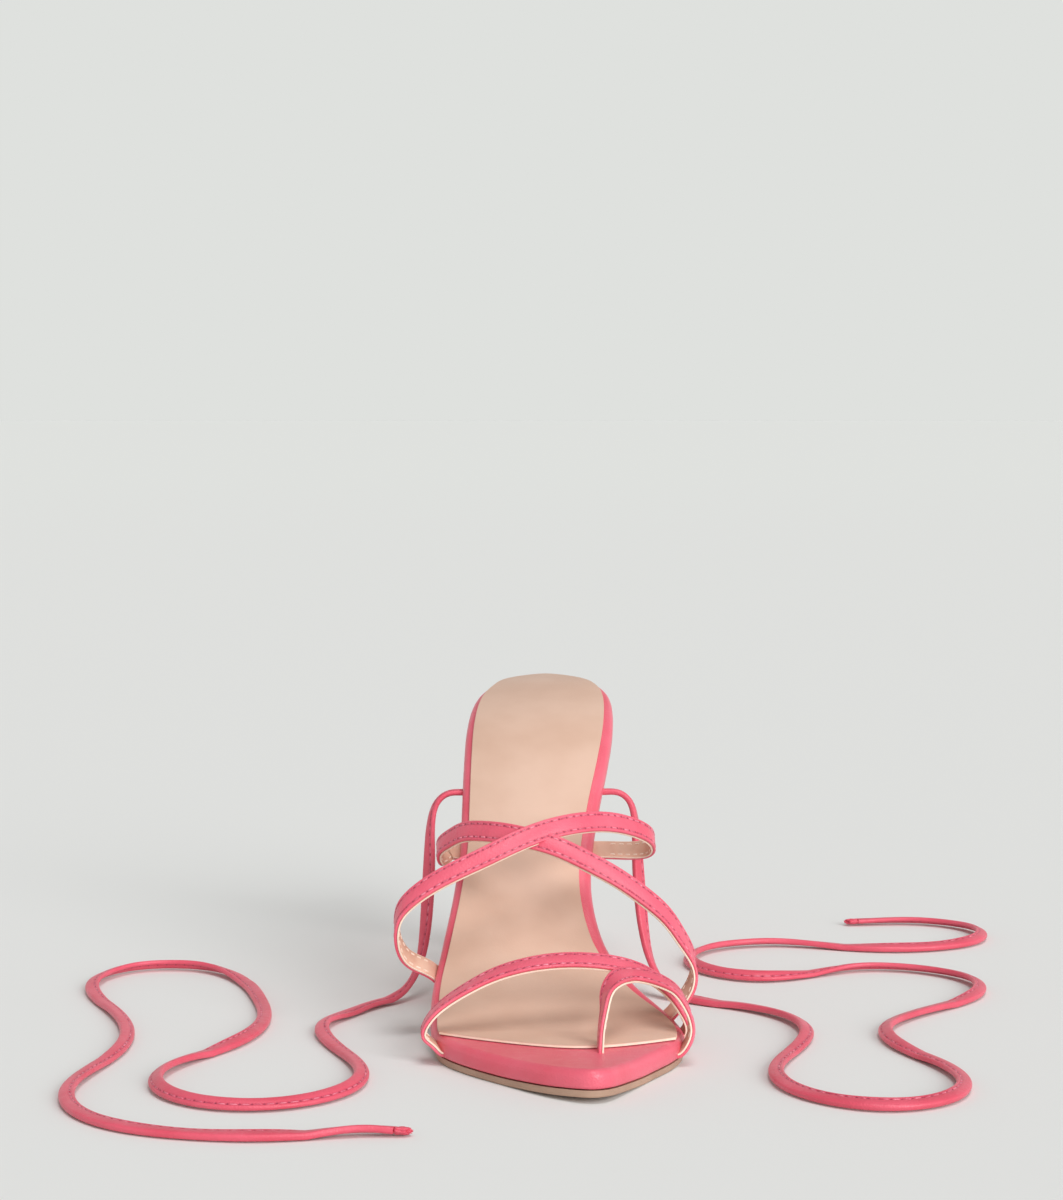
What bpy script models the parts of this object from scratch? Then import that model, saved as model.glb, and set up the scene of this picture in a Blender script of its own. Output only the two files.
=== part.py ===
"""Lace up heeled sandal, the right shoe of a pair, standing empty on its sole.

Metres, +Z up. The toe points to -Y, the heel to +Y and the big toe's side is +X.
The origin is on the floor, in the middle of the forefoot's flat tread.
Places along the shoe are shares of SOLE_LENGTH from the toe tip, places across it are
shares of BALL_WIDTH from the centre line, and heights are measured up from the footbed.
"""
import math

import bmesh
import bpy
import numpy as np
from mathutils import Vector

# Driving sizes of the sole
SOLE_LENGTH = 0.240
BALL_WIDTH = 0.083
SEAT_HEIGHT = 0.1075
TOE_TO_TREAD = 0.040
TREAD_LENGTH = 0.028
TOE_SPRING = 0.002
OUTSOLE_THICKNESS = 0.0022
OUTSOLE_INSET = 0.0005
OUTSOLE_BEVEL = 0.0006
BOARD_THICKNESS = 0.0062
TOP_EDGE_RADIUS = 0.0022
LOW_EDGE_RADIUS = 0.0008

# Driving sizes of the insole
INSOLE_THICKNESS = 0.0009
INSOLE_INSET = 0.0027
INSOLE_BOW = 0.015
INSOLE_COLUMNS = 8

# Driving sizes of the heel
HEEL_BREAST = 0.783
HEEL_INSET = 0.0006
HEEL_TIP_WIDTH = 0.012
HEEL_TIP_DEPTH = 0.012
HEEL_TIP_PLACE = 0.900
SQUARENESS = 5.0
BREAST_POINTS = 4
TOP_PIECE_THICKNESS = 0.005
TOP_PIECE_EDGE = 0.0005
TOP_PIECE_SIDES = 24

# Driving sizes of the straps
STRAP_WIDTH = 0.0072
STRAP_THICKNESS = 0.0017
STRAP_EDGE = 0.0004
TOE_HEIGHT = 0.0233
INSTEP_HEIGHT = 0.040
LET_IN = 0.007
SLOT_OPENING = 0.0015
TOP_TILT = math.radians(18.0)
SECTION_SPACING = 0.0022

# Driving sizes of the laces
LACE_LENGTH = 0.835
LACE_THICKNESS = 0.0024
LACE_POINTS = 78
LACE_EXIT_DEPTH = 0.0050
LACE_TIP_LENGTH = 0.006
LACE_TIP_WIDTH = 0.0042
LACE_TIP_SIDES = 10

FIT_GAP = 0.0003
CORNER_MARGIN = 0.002
SOLE_STACK = OUTSOLE_THICKNESS + FIT_GAP + BOARD_THICKNESS

# Toe spring: place from the tread's front edge to the toe tip, share of TOE_SPRING
TOE_CURVE = (
    (0.54, 0.40),
    (1.00, 1.00),
)

# Arch: place from the tread's back edge to the heel's back, share of the whole rise
ARCH_CURVE = (
    (0.081, 0.033),
    (0.180, 0.127),
    (0.293, 0.294),
    (0.406, 0.481),
    (0.520, 0.654),
    (0.634, 0.799),
    (0.732, 0.888),
    (0.813, 0.935),
    (0.900, 0.973),
    (1.000, 1.000),
)

# Outline of the sole: place along it, lateral edge, medial edge
TOE_TIP = (0.0, 0.084)
HEEL_BACK = (1.0, 0.048)
OUTLINE = (
    (0.012, 0.004, 0.152),
    (0.042, -0.100, 0.212),
    (0.083, -0.205, 0.284),
    (0.125, -0.312, 0.359),
    (0.167, -0.402, 0.430),
    (0.208, -0.465, 0.475),
    (0.250, -0.498, 0.489),
    (0.300, -0.506, 0.432),
    (0.355, -0.492, 0.314),
    (0.415, -0.453, 0.212),
    (0.480, -0.408, 0.174),
    (0.540, -0.377, 0.187),
    (0.610, -0.364, 0.229),
    (0.690, -0.351, 0.284),
    (0.770, -0.333, 0.322),
    (0.855, -0.296, 0.334),
    (0.915, -0.238, 0.310),
    (0.967, -0.153, 0.232),
)

# Insole: place of each row at the lateral edge, at the medial edge, share of INSOLE_BOW
INSOLE_ROWS = (
    (0.228, 0.184, 1.00),
    (0.252, 0.214, 0.90),
    (0.285, 0.255, 0.72),
    (0.325, 0.305, 0.48),
    (0.370, 0.360, 0.22),
    (0.420, 0.418, 0.06),
    (0.475, 0.475, 0.00),
    (0.530, 0.530, 0.00),
    (0.590, 0.590, 0.00),
    (0.650, 0.650, 0.00),
    (0.710, 0.710, 0.00),
    (0.770, 0.770, 0.00),
    (0.830, 0.830, 0.00),
    (0.880, 0.880, 0.00),
    (0.920, 0.920, 0.00),
    (0.950, 0.950, 0.00),
    (0.970, 0.970, 0.00),
    (0.982, 0.982, 0.00),
)

# How far the insole is set in from the medial edge: place, share of INSOLE_INSET
INSOLE_MEDIAL = (
    (0.184, 0.75),
    (0.250, 1.20),
    (0.340, 1.50),
    (0.480, 1.62),
    (0.620, 1.50),
    (0.800, 1.30),
    (0.940, 1.00),
)

# Heel, from its tip up to the seat: height, then how far the width, the breast
# and the back have grown from the tip's size to the seat's
HEEL_CURVE = (
    (0.00, 0.00, 0.00, 0.00),
    (0.20, 0.06, 0.01, 0.02),
    (0.40, 0.16, 0.04, 0.08),
    (0.58, 0.30, 0.10, 0.20),
    (0.74, 0.48, 0.22, 0.40),
    (0.87, 0.72, 0.46, 0.66),
    (0.95, 0.89, 0.74, 0.87),
    (1.00, 1.00, 1.00, 1.00),
)
HEEL_SECTIONS = (0.0, 0.12, 0.24, 0.36, 0.48, 0.59, 0.69, 0.78, 0.86, 0.92, 0.97, 1.0)

# Straps: place along, place across, height above the footbed as a share of the strap's
TOE_STRAP = (
    (0.217, -0.533, 0.03),
    (0.217, -0.511, 0.26),
    (0.221, -0.463, 0.43),
    (0.225, -0.357, 0.67),
    (0.229, -0.275, 0.81),
    (0.233, -0.112, 0.97),
    (0.238, 0.000, 1.00),
    (0.242, 0.150, 0.97),
    (0.250, 0.286, 0.84),
    (0.258, 0.367, 0.67),
    (0.262, 0.431, 0.46),
    (0.262, 0.482, 0.20),
)
TOE_LOOP = (
    (0.135, 0.139, 0.06),
    (0.144, 0.145, 0.28),
    (0.156, 0.158, 0.50),
    (0.181, 0.180, 0.71),
    (0.208, 0.223, 0.825),
    (0.230, 0.278, 0.825),
    (0.234, 0.341, 0.78),
    (0.228, 0.400, 0.715),
    (0.220, 0.447, 0.62),
    (0.213, 0.479, 0.47),
    (0.208, 0.502, 0.28),
    (0.203, 0.507, 0.10),
)
OVER_STRAP = (
    (0.371, -0.600, 0.12),
    (0.363, -0.640, 0.36),
    (0.359, -0.624, 0.57),
    (0.359, -0.563, 0.71),
    (0.363, -0.451, 0.84),
    (0.375, -0.282, 0.95),
    (0.393, -0.120, 1.01),
    (0.417, 0.033, 0.97),
    (0.450, 0.192, 0.81),
    (0.488, 0.341, 0.53),
    (0.522, 0.436, 0.20),
    (0.542, 0.432, 0.01),
)
UNDER_STRAP = (
    (0.545, -0.458, -0.07),
    (0.532, -0.466, 0.06),
    (0.508, -0.428, 0.30),
    (0.479, -0.366, 0.55),
    (0.450, -0.290, 0.735),
    (0.425, -0.208, 0.868),
    (0.402, -0.081, 0.945),
    (0.390, 0.024, 0.94),
    (0.379, 0.130, 0.89),
    (0.367, 0.247, 0.813),
    (0.354, 0.357, 0.71),
    (0.342, 0.442, 0.603),
    (0.331, 0.500, 0.475),
    (0.317, 0.548, 0.29),
    (0.309, 0.538, 0.16),
    (0.304, 0.498, 0.04),
)

# Where the straps' ends are let in under the footbed: place along, side
TOE_STRAP_ENDS = ((0.217, -1), (0.258, 1))
TOE_LOOP_END = (0.196, 1)
POST_PLACE = (0.133, 0.138)
OVER_STRAP_ENDS = ((0.379, -1), (0.553, 1))
UNDER_STRAP_ENDS = ((0.553, -1), (0.300, 1))

# The way of a let in end: shares of LET_IN inside the edge, then its depth beside the edge
# as a share of the board's thickness
LET_IN_SHARES = (1.0, 0.7, 0.4, 0.18)
EDGE_PASS = 0.42

# Laces: each leaves under the sole's edge, falls to the floor and lies there in curves.
# Chosen points in metres
LACE_EXIT = 0.648
LATERAL_LACE = (
    (-0.0350, 0.1182, 0.0722),
    (-0.0388, 0.1178, 0.0694),
    (-0.0408, 0.1172, 0.0640),
    (-0.0417, 0.1160, 0.0520),
    (-0.0424, 0.1145, 0.0370),
    (-0.0436, 0.1120, 0.0220),
    (-0.0464, 0.1080, 0.0100),
    (-0.0515, 0.1025, 0.0034),
    (-0.0600, 0.0940, 0.0013),
    (-0.0700, 0.0790, 0.0013),
    (-0.0780, 0.0620, 0.0013),
    (-0.0760, 0.0400, 0.0013),
    (-0.0690, 0.0190, 0.0013),
    (-0.0640, -0.0040, 0.0013),
    (-0.0680, -0.0260, 0.0013),
    (-0.0840, -0.0410, 0.0013),
    (-0.1060, -0.0420, 0.0013),
    (-0.1230, -0.0280, 0.0013),
    (-0.1280, -0.0060, 0.0013),
    (-0.1200, 0.0160, 0.0013),
    (-0.1070, 0.0360, 0.0013),
    (-0.1000, 0.0590, 0.0013),
    (-0.1040, 0.1090, 0.0013),
    (-0.1120, 0.1360, 0.0013),
    (-0.1290, 0.1560, 0.0013),
    (-0.1510, 0.1560, 0.0013),
    (-0.1640, 0.1370, 0.0013),
    (-0.1620, 0.1120, 0.0013),
    (-0.1530, 0.0880, 0.0013),
    (-0.1450, 0.0600, 0.0013),
    (-0.1440, 0.0310, 0.0013),
    (-0.1500, 0.0040, 0.0013),
    (-0.1540, -0.0200, 0.0013),
    (-0.1490, -0.0440, 0.0013),
    (-0.1340, -0.0630, 0.0013),
    (-0.1120, -0.0730, 0.0013),
    (-0.0880, -0.0760, 0.0013),
    (-0.0640, -0.0720, 0.0013),
    (-0.0400, -0.0740, 0.0013),
)
MEDIAL_LACE = (
    (0.0268, 0.1182, 0.0722),
    (0.0306, 0.1178, 0.0694),
    (0.0326, 0.1172, 0.0640),
    (0.0335, 0.1158, 0.0520),
    (0.0343, 0.1138, 0.0370),
    (0.0358, 0.1108, 0.0220),
    (0.0390, 0.1064, 0.0100),
    (0.0445, 0.1008, 0.0034),
    (0.0530, 0.0940, 0.0013),
    (0.0660, 0.0850, 0.0013),
    (0.0800, 0.0690, 0.0013),
    (0.0850, 0.0460, 0.0013),
    (0.0700, 0.0030, 0.0013),
    (0.0670, -0.0200, 0.0013),
    (0.0760, -0.0410, 0.0013),
    (0.0950, -0.0520, 0.0013),
    (0.1150, -0.0440, 0.0013),
    (0.1240, -0.0230, 0.0013),
    (0.1210, 0.0000, 0.0013),
    (0.1130, 0.0220, 0.0013),
    (0.1120, 0.0460, 0.0013),
    (0.1400, 0.0820, 0.0013),
    (0.1550, 0.1000, 0.0013),
    (0.1570, 0.1230, 0.0013),
    (0.1420, 0.1410, 0.0013),
    (0.1190, 0.1450, 0.0013),
    (0.0780, 0.1290, 0.0013),
    (0.0620, 0.1420, 0.0013),
    (0.0580, 0.1650, 0.0013),
    (0.0700, 0.1850, 0.0013),
    (0.0920, 0.1930, 0.0013),
    (0.1370, 0.1800, 0.0013),
    (0.1590, 0.1830, 0.0013),
    (0.1760, 0.1960, 0.0013),
    (0.1780, 0.2180, 0.0013),
    (0.1620, 0.2330, 0.0013),
    (0.1160, 0.2340, 0.0013),
    (0.0930, 0.2420, 0.0013),
)

# The crushed end of a lace: share of its length, share of its width and height
LACE_TIP_SECTIONS = (
    (0.00, 0.60),
    (0.25, 1.00),
    (0.70, 0.95),
    (1.00, 0.60),
)


def clear_scene():
    for item in list(bpy.data.objects):
        bpy.data.objects.remove(item, do_unlink=True)


def material(name, colour, roughness):
    made = bpy.data.materials.new(name)
    made.use_nodes = True
    shader = made.node_tree.nodes["Principled BSDF"]
    shader.inputs["Base Color"].default_value = (*colour, 1.0)
    shader.inputs["Roughness"].default_value = roughness
    shader.inputs["Metallic"].default_value = 0.0
    return made


def smooth_curve(places, values):
    """A smooth curve through the points that never swings past them."""
    x = np.array(places, dtype=float)
    y = np.array(values, dtype=float)
    step = np.diff(x)
    slope = np.diff(y) / step
    tangent = np.concatenate(([slope[0]], np.zeros(len(x) - 2), [slope[-1]]))
    for i in range(1, len(x) - 1):
        if slope[i - 1] * slope[i] > 0.0:
            before = 2.0 * step[i] + step[i - 1]
            after = step[i] + 2.0 * step[i - 1]
            tangent[i] = (before + after) / (before / slope[i - 1] + after / slope[i])

    def value(at):
        at = min(max(at, x[0]), x[-1])
        i = min(int(np.searchsorted(x, at, side="right")) - 1, len(step) - 1)
        t = (at - x[i]) / step[i]
        start = y[i] * (1.0 + 2.0 * t) * (1.0 - t) ** 2 + tangent[i] * step[i] * t * (1.0 - t) ** 2
        end = y[i + 1] * t * t * (3.0 - 2.0 * t) - tangent[i + 1] * step[i] * t * t * (1.0 - t)
        return start + end

    return value


def along(share):
    return share * SOLE_LENGTH - TOE_TO_TREAD


def make_footbed_height():
    toe_run = TOE_TO_TREAD - TREAD_LENGTH / 2.0
    arch_run = SOLE_LENGTH - TOE_TO_TREAD - TREAD_LENGTH / 2.0
    rise = SEAT_HEIGHT - SOLE_STACK
    rows = [(-TREAD_LENGTH / 2.0 - toe_run * place, SOLE_STACK + TOE_SPRING * lift)
            for place, lift in reversed(TOE_CURVE)]
    rows += [(-TREAD_LENGTH / 2.0, SOLE_STACK), (TREAD_LENGTH / 2.0, SOLE_STACK)]
    rows += [(TREAD_LENGTH / 2.0 + arch_run * place, SOLE_STACK + rise * lift)
             for place, lift in ARCH_CURVE]
    return smooth_curve([row[0] for row in rows], [row[1] for row in rows])


footbed_height = make_footbed_height()


def footbed_slope(y):
    reach = 0.001
    return math.atan2(footbed_height(y + reach) - footbed_height(y - reach), 2.0 * reach)


def below_footbed(x, y, depth):
    """The point that lies this deep under the footbed, square to it."""
    slope = footbed_slope(y)
    return Vector((x, y + depth * math.sin(slope), footbed_height(y) - depth * math.cos(slope)))


def closed_curve(points, steps):
    """A smooth closed curve through the points."""
    count = len(points)
    curve = []
    for i in range(count):
        a, b, c, d = (np.array(points[(i + k) % count]) for k in (-1, 0, 1, 2))
        for step in range(steps):
            t = step / steps
            curve.append(0.5 * (2.0 * b + (c - a) * t + (2.0 * a - 5.0 * b + 4.0 * c - d) * t ** 2
                                + (3.0 * b - a - 3.0 * c + d) * t ** 3))
    return np.array(curve)


def sole_outline(inset=0.0, steps=2):
    """The sole seen from above: toe tip, lateral side, heel, then back up the medial side."""
    points = [(TOE_TIP[1] * BALL_WIDTH, along(TOE_TIP[0]))]
    points += [(lateral * BALL_WIDTH, along(place)) for place, lateral, medial in OUTLINE]
    points += [(HEEL_BACK[1] * BALL_WIDTH, along(HEEL_BACK[0]))]
    points += [(medial * BALL_WIDTH, along(place)) for place, lateral, medial in reversed(OUTLINE)]
    curve = closed_curve(points, steps)
    run = np.roll(curve, -1, axis=0) - np.roll(curve, 1, axis=0)
    run /= np.linalg.norm(run, axis=1)[:, None]
    inward = np.stack([run[:, 1], -run[:, 0]], axis=1)
    return curve + inward * inset


def sole_edge(y, side, inset=0.0):
    """The sole's edge at this place, with the way straight out of it. Side -1 is lateral."""
    curve = sole_outline(inset, 4)
    back = len(curve) // 2
    half = curve[:back + 1] if side < 0 else np.vstack([curve[back:], curve[:1]])[::-1]
    x = float(np.interp(y, half[:, 1], half[:, 0]))
    reach = 0.002
    ahead = float(np.interp(y + reach, half[:, 1], half[:, 0]))
    behind = float(np.interp(y - reach, half[:, 1], half[:, 0]))
    out = Vector((side * 2.0 * reach, -side * (ahead - behind), 0.0)).normalized()
    return x, out


def finish_mesh(name, mesh_builder, look):
    bmesh.ops.remove_doubles(mesh_builder, verts=mesh_builder.verts, dist=1e-7)
    bmesh.ops.recalc_face_normals(mesh_builder, faces=mesh_builder.faces)
    mesh = bpy.data.meshes.new(name)
    mesh_builder.to_mesh(mesh)
    mesh_builder.free()
    mesh.shade_smooth()
    mesh.set_sharp_from_angle(angle=math.radians(40.0))
    made = bpy.data.objects.new(name, mesh)
    bpy.context.scene.collection.objects.link(made)
    mesh.materials.append(look)
    return made


def ladder_cap(build, ring):
    """Close a sole shaped ring with rungs from its lateral to its medial side."""
    count = len(ring)
    build.faces.new((ring[0], ring[1], ring[count - 1]))
    i = 1
    while i + 1 < count - i - 1:
        build.faces.new((ring[i], ring[i + 1], ring[count - i - 1], ring[count - i]))
        i += 1
    if i + 1 == count - i - 1:
        build.faces.new((ring[i], ring[i + 1], ring[count - i]))


def loft(name, rings, look, cap):
    """A closed solid through rings that all have the same number of points."""
    build = bmesh.new()
    rows = [[build.verts.new(point) for point in ring] for ring in rings]
    for low, high in zip(rows, rows[1:]):
        for i in range(len(low)):
            k = (i + 1) % len(low)
            build.faces.new((low[i], low[k], high[k], high[i]))
    cap(build, rows[0])
    cap(build, rows[-1])
    return finish_mesh(name, build, look)


def flat_cap(build, ring):
    build.faces.new(ring)


def sole_ring(inset, depth, stop=None):
    """A ring of the sole at this depth under the footbed, cut off square at stop."""
    curve = sole_outline(inset)
    if stop is None:
        return [below_footbed(x, y, depth) for x, y in curve]
    back = len(curve) // 2
    lateral = [tuple(p) for p in curve[1:back] if p[1] < stop - CORNER_MARGIN]
    medial = [tuple(p) for p in curve[back + 1:] if p[1] < stop - CORNER_MARGIN]
    ends = [(sole_edge(stop, side, inset)[0], stop) for side in (-1, 1)]
    ring = [tuple(curve[0])] + lateral + ends + medial
    return [below_footbed(x, y, depth) for x, y in ring]


def make_outsole(look):
    stop = along(HEEL_BREAST) - FIT_GAP
    low = SOLE_STACK
    high = BOARD_THICKNESS + FIT_GAP
    rings = [
        sole_ring(OUTSOLE_INSET + OUTSOLE_BEVEL, low, stop),
        sole_ring(OUTSOLE_INSET, low - OUTSOLE_BEVEL, stop),
        sole_ring(OUTSOLE_INSET, high, stop),
    ]
    return loft("outsole", rings, look, ladder_cap)


def make_board(look):
    rings = []
    for degrees in (0.0, 45.0, 90.0):
        turn = math.radians(degrees)
        depth = BOARD_THICKNESS - LOW_EDGE_RADIUS * (1.0 - math.cos(turn))
        rings.append(sole_ring(LOW_EDGE_RADIUS * (1.0 - math.sin(turn)), depth))
    for degrees in (0.0, 30.0, 60.0, 90.0):
        turn = math.radians(degrees)
        depth = TOP_EDGE_RADIUS * (1.0 - math.sin(turn))
        rings.append(sole_ring(TOP_EDGE_RADIUS * (1.0 - math.cos(turn)), depth))
    return loft("footbed_board", rings, look, ladder_cap)


def make_insole(look):
    """A thin sheet over the footbed, cut in a bow at the front and set in all round."""
    build = bmesh.new()
    medial_inset = smooth_curve([row[0] for row in INSOLE_MEDIAL], [row[1] for row in INSOLE_MEDIAL])
    sheets = []
    for lift in (FIT_GAP, FIT_GAP + INSOLE_THICKNESS):
        sheet = []
        for lateral_place, medial_place, bow in INSOLE_ROWS:
            row = []
            for column in range(INSOLE_COLUMNS + 1):
                across = column / INSOLE_COLUMNS
                y = along(lateral_place + (medial_place - lateral_place) * across)
                y -= INSOLE_BOW * bow * (1.0 - (2.0 * across - 1.0) ** 2)
                inset = INSOLE_INSET * medial_inset((y + TOE_TO_TREAD) / SOLE_LENGTH)
                lateral = sole_edge(y, -1, INSOLE_INSET)[0]
                medial = sole_edge(y, 1, inset)[0]
                x = lateral + (medial - lateral) * across
                row.append(build.verts.new(below_footbed(x, y, -lift)))
            sheet.append(row)
        sheets.append(sheet)
    low, high = sheets
    rows = len(INSOLE_ROWS)
    for i in range(rows - 1):
        for k in range(INSOLE_COLUMNS):
            for sheet in sheets:
                build.faces.new((sheet[i][k], sheet[i][k + 1], sheet[i + 1][k + 1], sheet[i + 1][k]))
        for k in (0, INSOLE_COLUMNS):
            build.faces.new((low[i][k], low[i + 1][k], high[i + 1][k], high[i][k]))
    for i in (0, rows - 1):
        for k in range(INSOLE_COLUMNS):
            build.faces.new((low[i][k], low[i][k + 1], high[i][k + 1], high[i][k]))
    return finish_mesh("insole", build, look)


def rounded_square(direction):
    """The point of a unit rounded square that lies in this direction."""
    size = abs(direction.x) ** SQUARENESS + abs(direction.y) ** SQUARENESS
    return direction * size ** (-1.0 / SQUARENESS)


def seat_ring():
    """The heel's top ring: the seat's edge, then straight across the breast."""
    breast = along(HEEL_BREAST)
    curve = sole_outline(HEEL_INSET)
    back = len(curve) // 2
    lateral = [tuple(p) for p in curve[1:back + 1] if p[1] > breast + CORNER_MARGIN]
    medial = [tuple(p) for p in curve[back + 1:] if p[1] > breast + CORNER_MARGIN]
    start = (sole_edge(breast, -1, HEEL_INSET)[0], breast)
    end = (sole_edge(breast, 1, HEEL_INSET)[0], breast)
    middle = [(end[0] + (start[0] - end[0]) * k / (BREAST_POINTS + 1), breast)
              for k in range(1, BREAST_POINTS + 1)]
    depth = BOARD_THICKNESS + FIT_GAP
    return [below_footbed(x, y, depth) for x, y in [start] + lateral + medial + [end] + middle]


def make_heel(look):
    top = seat_ring()
    low = Vector((min(p.x for p in top), min(p.y for p in top)))
    high = Vector((max(p.x for p in top), max(p.y for p in top)))
    middle = (low + high) / 2.0
    half = (high - low) / 2.0
    tip_y = along(HEEL_TIP_PLACE)
    tip_z = TOP_PIECE_THICKNESS + FIT_GAP
    unit = [Vector(((p.x - middle.x) / half.x, (p.y - middle.y) / half.y)) for p in top]
    square = [rounded_square(p.normalized()) for p in unit]
    width_at, breast_at, back_at = (
        smooth_curve([row[0] for row in HEEL_CURVE], [row[k] for row in HEEL_CURVE]) for k in (1, 2, 3))
    rings = []
    for up in HEEL_SECTIONS:
        width = HEEL_TIP_WIDTH / 2.0 + (half.x - HEEL_TIP_WIDTH / 2.0) * width_at(up)
        front = tip_y - HEEL_TIP_DEPTH / 2.0
        front += (low.y - front) * breast_at(up)
        back = tip_y + HEEL_TIP_DEPTH / 2.0
        back += (high.y - back) * back_at(up)
        centre = Vector((middle.x * width_at(up), (front + back) / 2.0))
        blend = width_at(up)
        ring = []
        for shape, corner, seat in zip(unit, square, top):
            place = corner.lerp(shape, blend)
            ring.append((centre.x + place.x * width, centre.y + place.y * (back - front) / 2.0,
                         tip_z + (seat.z - tip_z) * up))
        rings.append(ring)
    return loft("heel", rings, look, heel_cap)


def heel_cap(build, ring):
    """Close a heel ring with rungs across it, from the breast to the back."""
    split = len(ring) - BREAST_POINTS // 2
    order = ring[split:] + ring[:split]
    while len(order) > 4:
        build.faces.new((order[0], order[1], order[-2], order[-1]))
        order = order[1:-1]
    build.faces.new(order)


def make_top_piece(look):
    tip_y = along(HEEL_TIP_PLACE)
    turns = [2.0 * math.pi * k / TOP_PIECE_SIDES for k in range(TOP_PIECE_SIDES)]
    square = [rounded_square(Vector((math.cos(turn), math.sin(turn)))) for turn in turns]
    rings = []
    for trim, z in ((TOP_PIECE_EDGE, 0.0), (0.0, TOP_PIECE_EDGE), (0.0, TOP_PIECE_THICKNESS)):
        half_width = HEEL_TIP_WIDTH / 2.0 - trim
        half_depth = HEEL_TIP_DEPTH / 2.0 - trim
        rings.append([(p.x * half_width, tip_y + p.y * half_depth, z) for p in square])
    return loft("heel_top_piece", rings, look, flat_cap)


def smooth_path(points, spacing):
    """A smooth curve through the route's points, read at even steps."""
    route = np.array([tuple(p) for p in points])
    chord = np.concatenate(([0.0], np.cumsum(np.linalg.norm(np.diff(route, axis=0), axis=1))))
    step = np.diff(chord)
    size = len(route)
    system = np.zeros((size, size))
    target = np.zeros((size, 3))
    system[0, 0] = system[-1, -1] = 1.0
    for i in range(1, size - 1):
        system[i, i - 1:i + 2] = step[i - 1], 2.0 * (step[i - 1] + step[i]), step[i]
        target[i] = 6.0 * ((route[i + 1] - route[i]) / step[i] - (route[i] - route[i - 1]) / step[i - 1])
    bend = np.linalg.solve(system, target)
    dense = []
    for i in range(size - 1):
        for t in np.linspace(0.0, 1.0, 16, endpoint=False):
            a = 1.0 - t
            dense.append(a * route[i] + t * route[i + 1]
                         + step[i] ** 2 / 6.0 * ((a ** 3 - a) * bend[i] + (t ** 3 - t) * bend[i + 1]))
    dense = np.array(dense + [route[-1]])
    walked = np.concatenate(([0.0], np.cumsum(np.linalg.norm(np.diff(dense, axis=0), axis=1))))
    total = walked[-1]
    at = np.linspace(0.0, total, int(round(total / spacing)) + 1)
    return np.stack([np.interp(at, walked, dense[:, k]) for k in range(3)], axis=1)


def free_points(rows, height):
    points = []
    for place, across, up in rows:
        y = along(place)
        points.append(Vector((across * BALL_WIDTH, y, footbed_height(y) + up * height)))
    return points


def let_in_end(place, side, hugs_edge):
    """The end of a strap, from under the footbed board straight out past its edge."""
    y = along(place)
    x, out = sole_edge(y, side)
    depth = BOARD_THICKNESS - STRAP_THICKNESS / 2.0 - FIT_GAP
    points = [below_footbed(x - side * share * LET_IN, y, depth) for share in LET_IN_SHARES]
    beside = (STRAP_THICKNESS / 2.0 + 2.0 * FIT_GAP) / abs(out.x)
    if hugs_edge:
        points.append(below_footbed(x + side * beside, y, EDGE_PASS * BOARD_THICKNESS))
    else:
        points.append(below_footbed(x + side * 3.0 * beside, y, depth))
    return points


def strap_frame(path, height):
    """For each point of the path, the way across the strap and the way out of its face.

    The face holds the strap's own run and the foot's run, which leans up over the instep.
    """
    run = np.gradient(path, axis=0)
    run /= np.linalg.norm(run, axis=1)[:, None]
    across, out = [], []
    for point, way in zip(path, run):
        share = min(max((point[2] - footbed_height(point[1])) / height, 0.0), 1.0)
        tilt = footbed_slope(point[1]) + TOP_TILT * share
        foot = np.array([0.0, math.cos(tilt), math.sin(tilt)])
        foot -= way * foot.dot(way)
        foot /= np.linalg.norm(foot)
        across.append(foot)
        out.append(np.cross(way, foot))
    return np.array(across), np.array(out)


def strap_solid(name, points, height, look, grow=0.0, open_under=0.0):
    """A flat strap with eased edges that follows the points, its face away from the foot.

    A slot for it grows all round, and is deeper where it lies under the footbed.
    """
    path = smooth_path(points, SECTION_SPACING)
    across, out = strap_frame(path, height)
    for end, inner in ((0, 1), (-1, -2)):
        way = path[end] - path[inner]
        path[end] += way / np.linalg.norm(way) * grow
    wide = STRAP_WIDTH / 2.0 + grow
    thick = STRAP_THICKNESS / 2.0 + grow
    ease = STRAP_EDGE
    rings = []
    for point, side, face in zip(path, across, out):
        slope = footbed_slope(point[1])
        downward = max(0.0, face[1] * math.sin(slope) - face[2] * math.cos(slope))
        outer = thick + open_under * downward
        profile = [
            (wide, outer - ease), (wide - ease, outer), (ease - wide, outer), (-wide, outer - ease),
            (-wide, ease - thick), (ease - wide, -thick), (wide - ease, -thick), (wide, ease - thick),
        ]
        rings.append([tuple(point + side * a + face * b) for a, b in profile])
    return loft(name, rings, look, flat_cap)


def toe_strap_points():
    start = let_in_end(*TOE_STRAP_ENDS[0], True)
    end = let_in_end(*TOE_STRAP_ENDS[1], True)
    return start + free_points(TOE_STRAP, TOE_HEIGHT) + end[::-1]


def toe_loop_points():
    x = POST_PLACE[1] * BALL_WIDTH
    y = along(POST_PLACE[0])
    deep = BOARD_THICKNESS - FIT_GAP
    start = [below_footbed(x, y, deep * share) for share in (1.0, 0.5, 0.0)]
    end = let_in_end(*TOE_LOOP_END, True)
    return start + free_points(TOE_LOOP, TOE_HEIGHT) + end[::-1]


def over_strap_points():
    start = let_in_end(*OVER_STRAP_ENDS[0], True)
    end = let_in_end(*OVER_STRAP_ENDS[1], False)
    return start + free_points(OVER_STRAP, INSTEP_HEIGHT) + end[::-1]


def under_strap_points():
    start = let_in_end(*UNDER_STRAP_ENDS[0], False)
    end = let_in_end(*UNDER_STRAP_ENDS[1], True)
    return start + free_points(UNDER_STRAP, INSTEP_HEIGHT) + end[::-1]


def guide(piece):
    piece.hide_render = True
    piece.display_type = "WIRE"
    return piece


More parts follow.
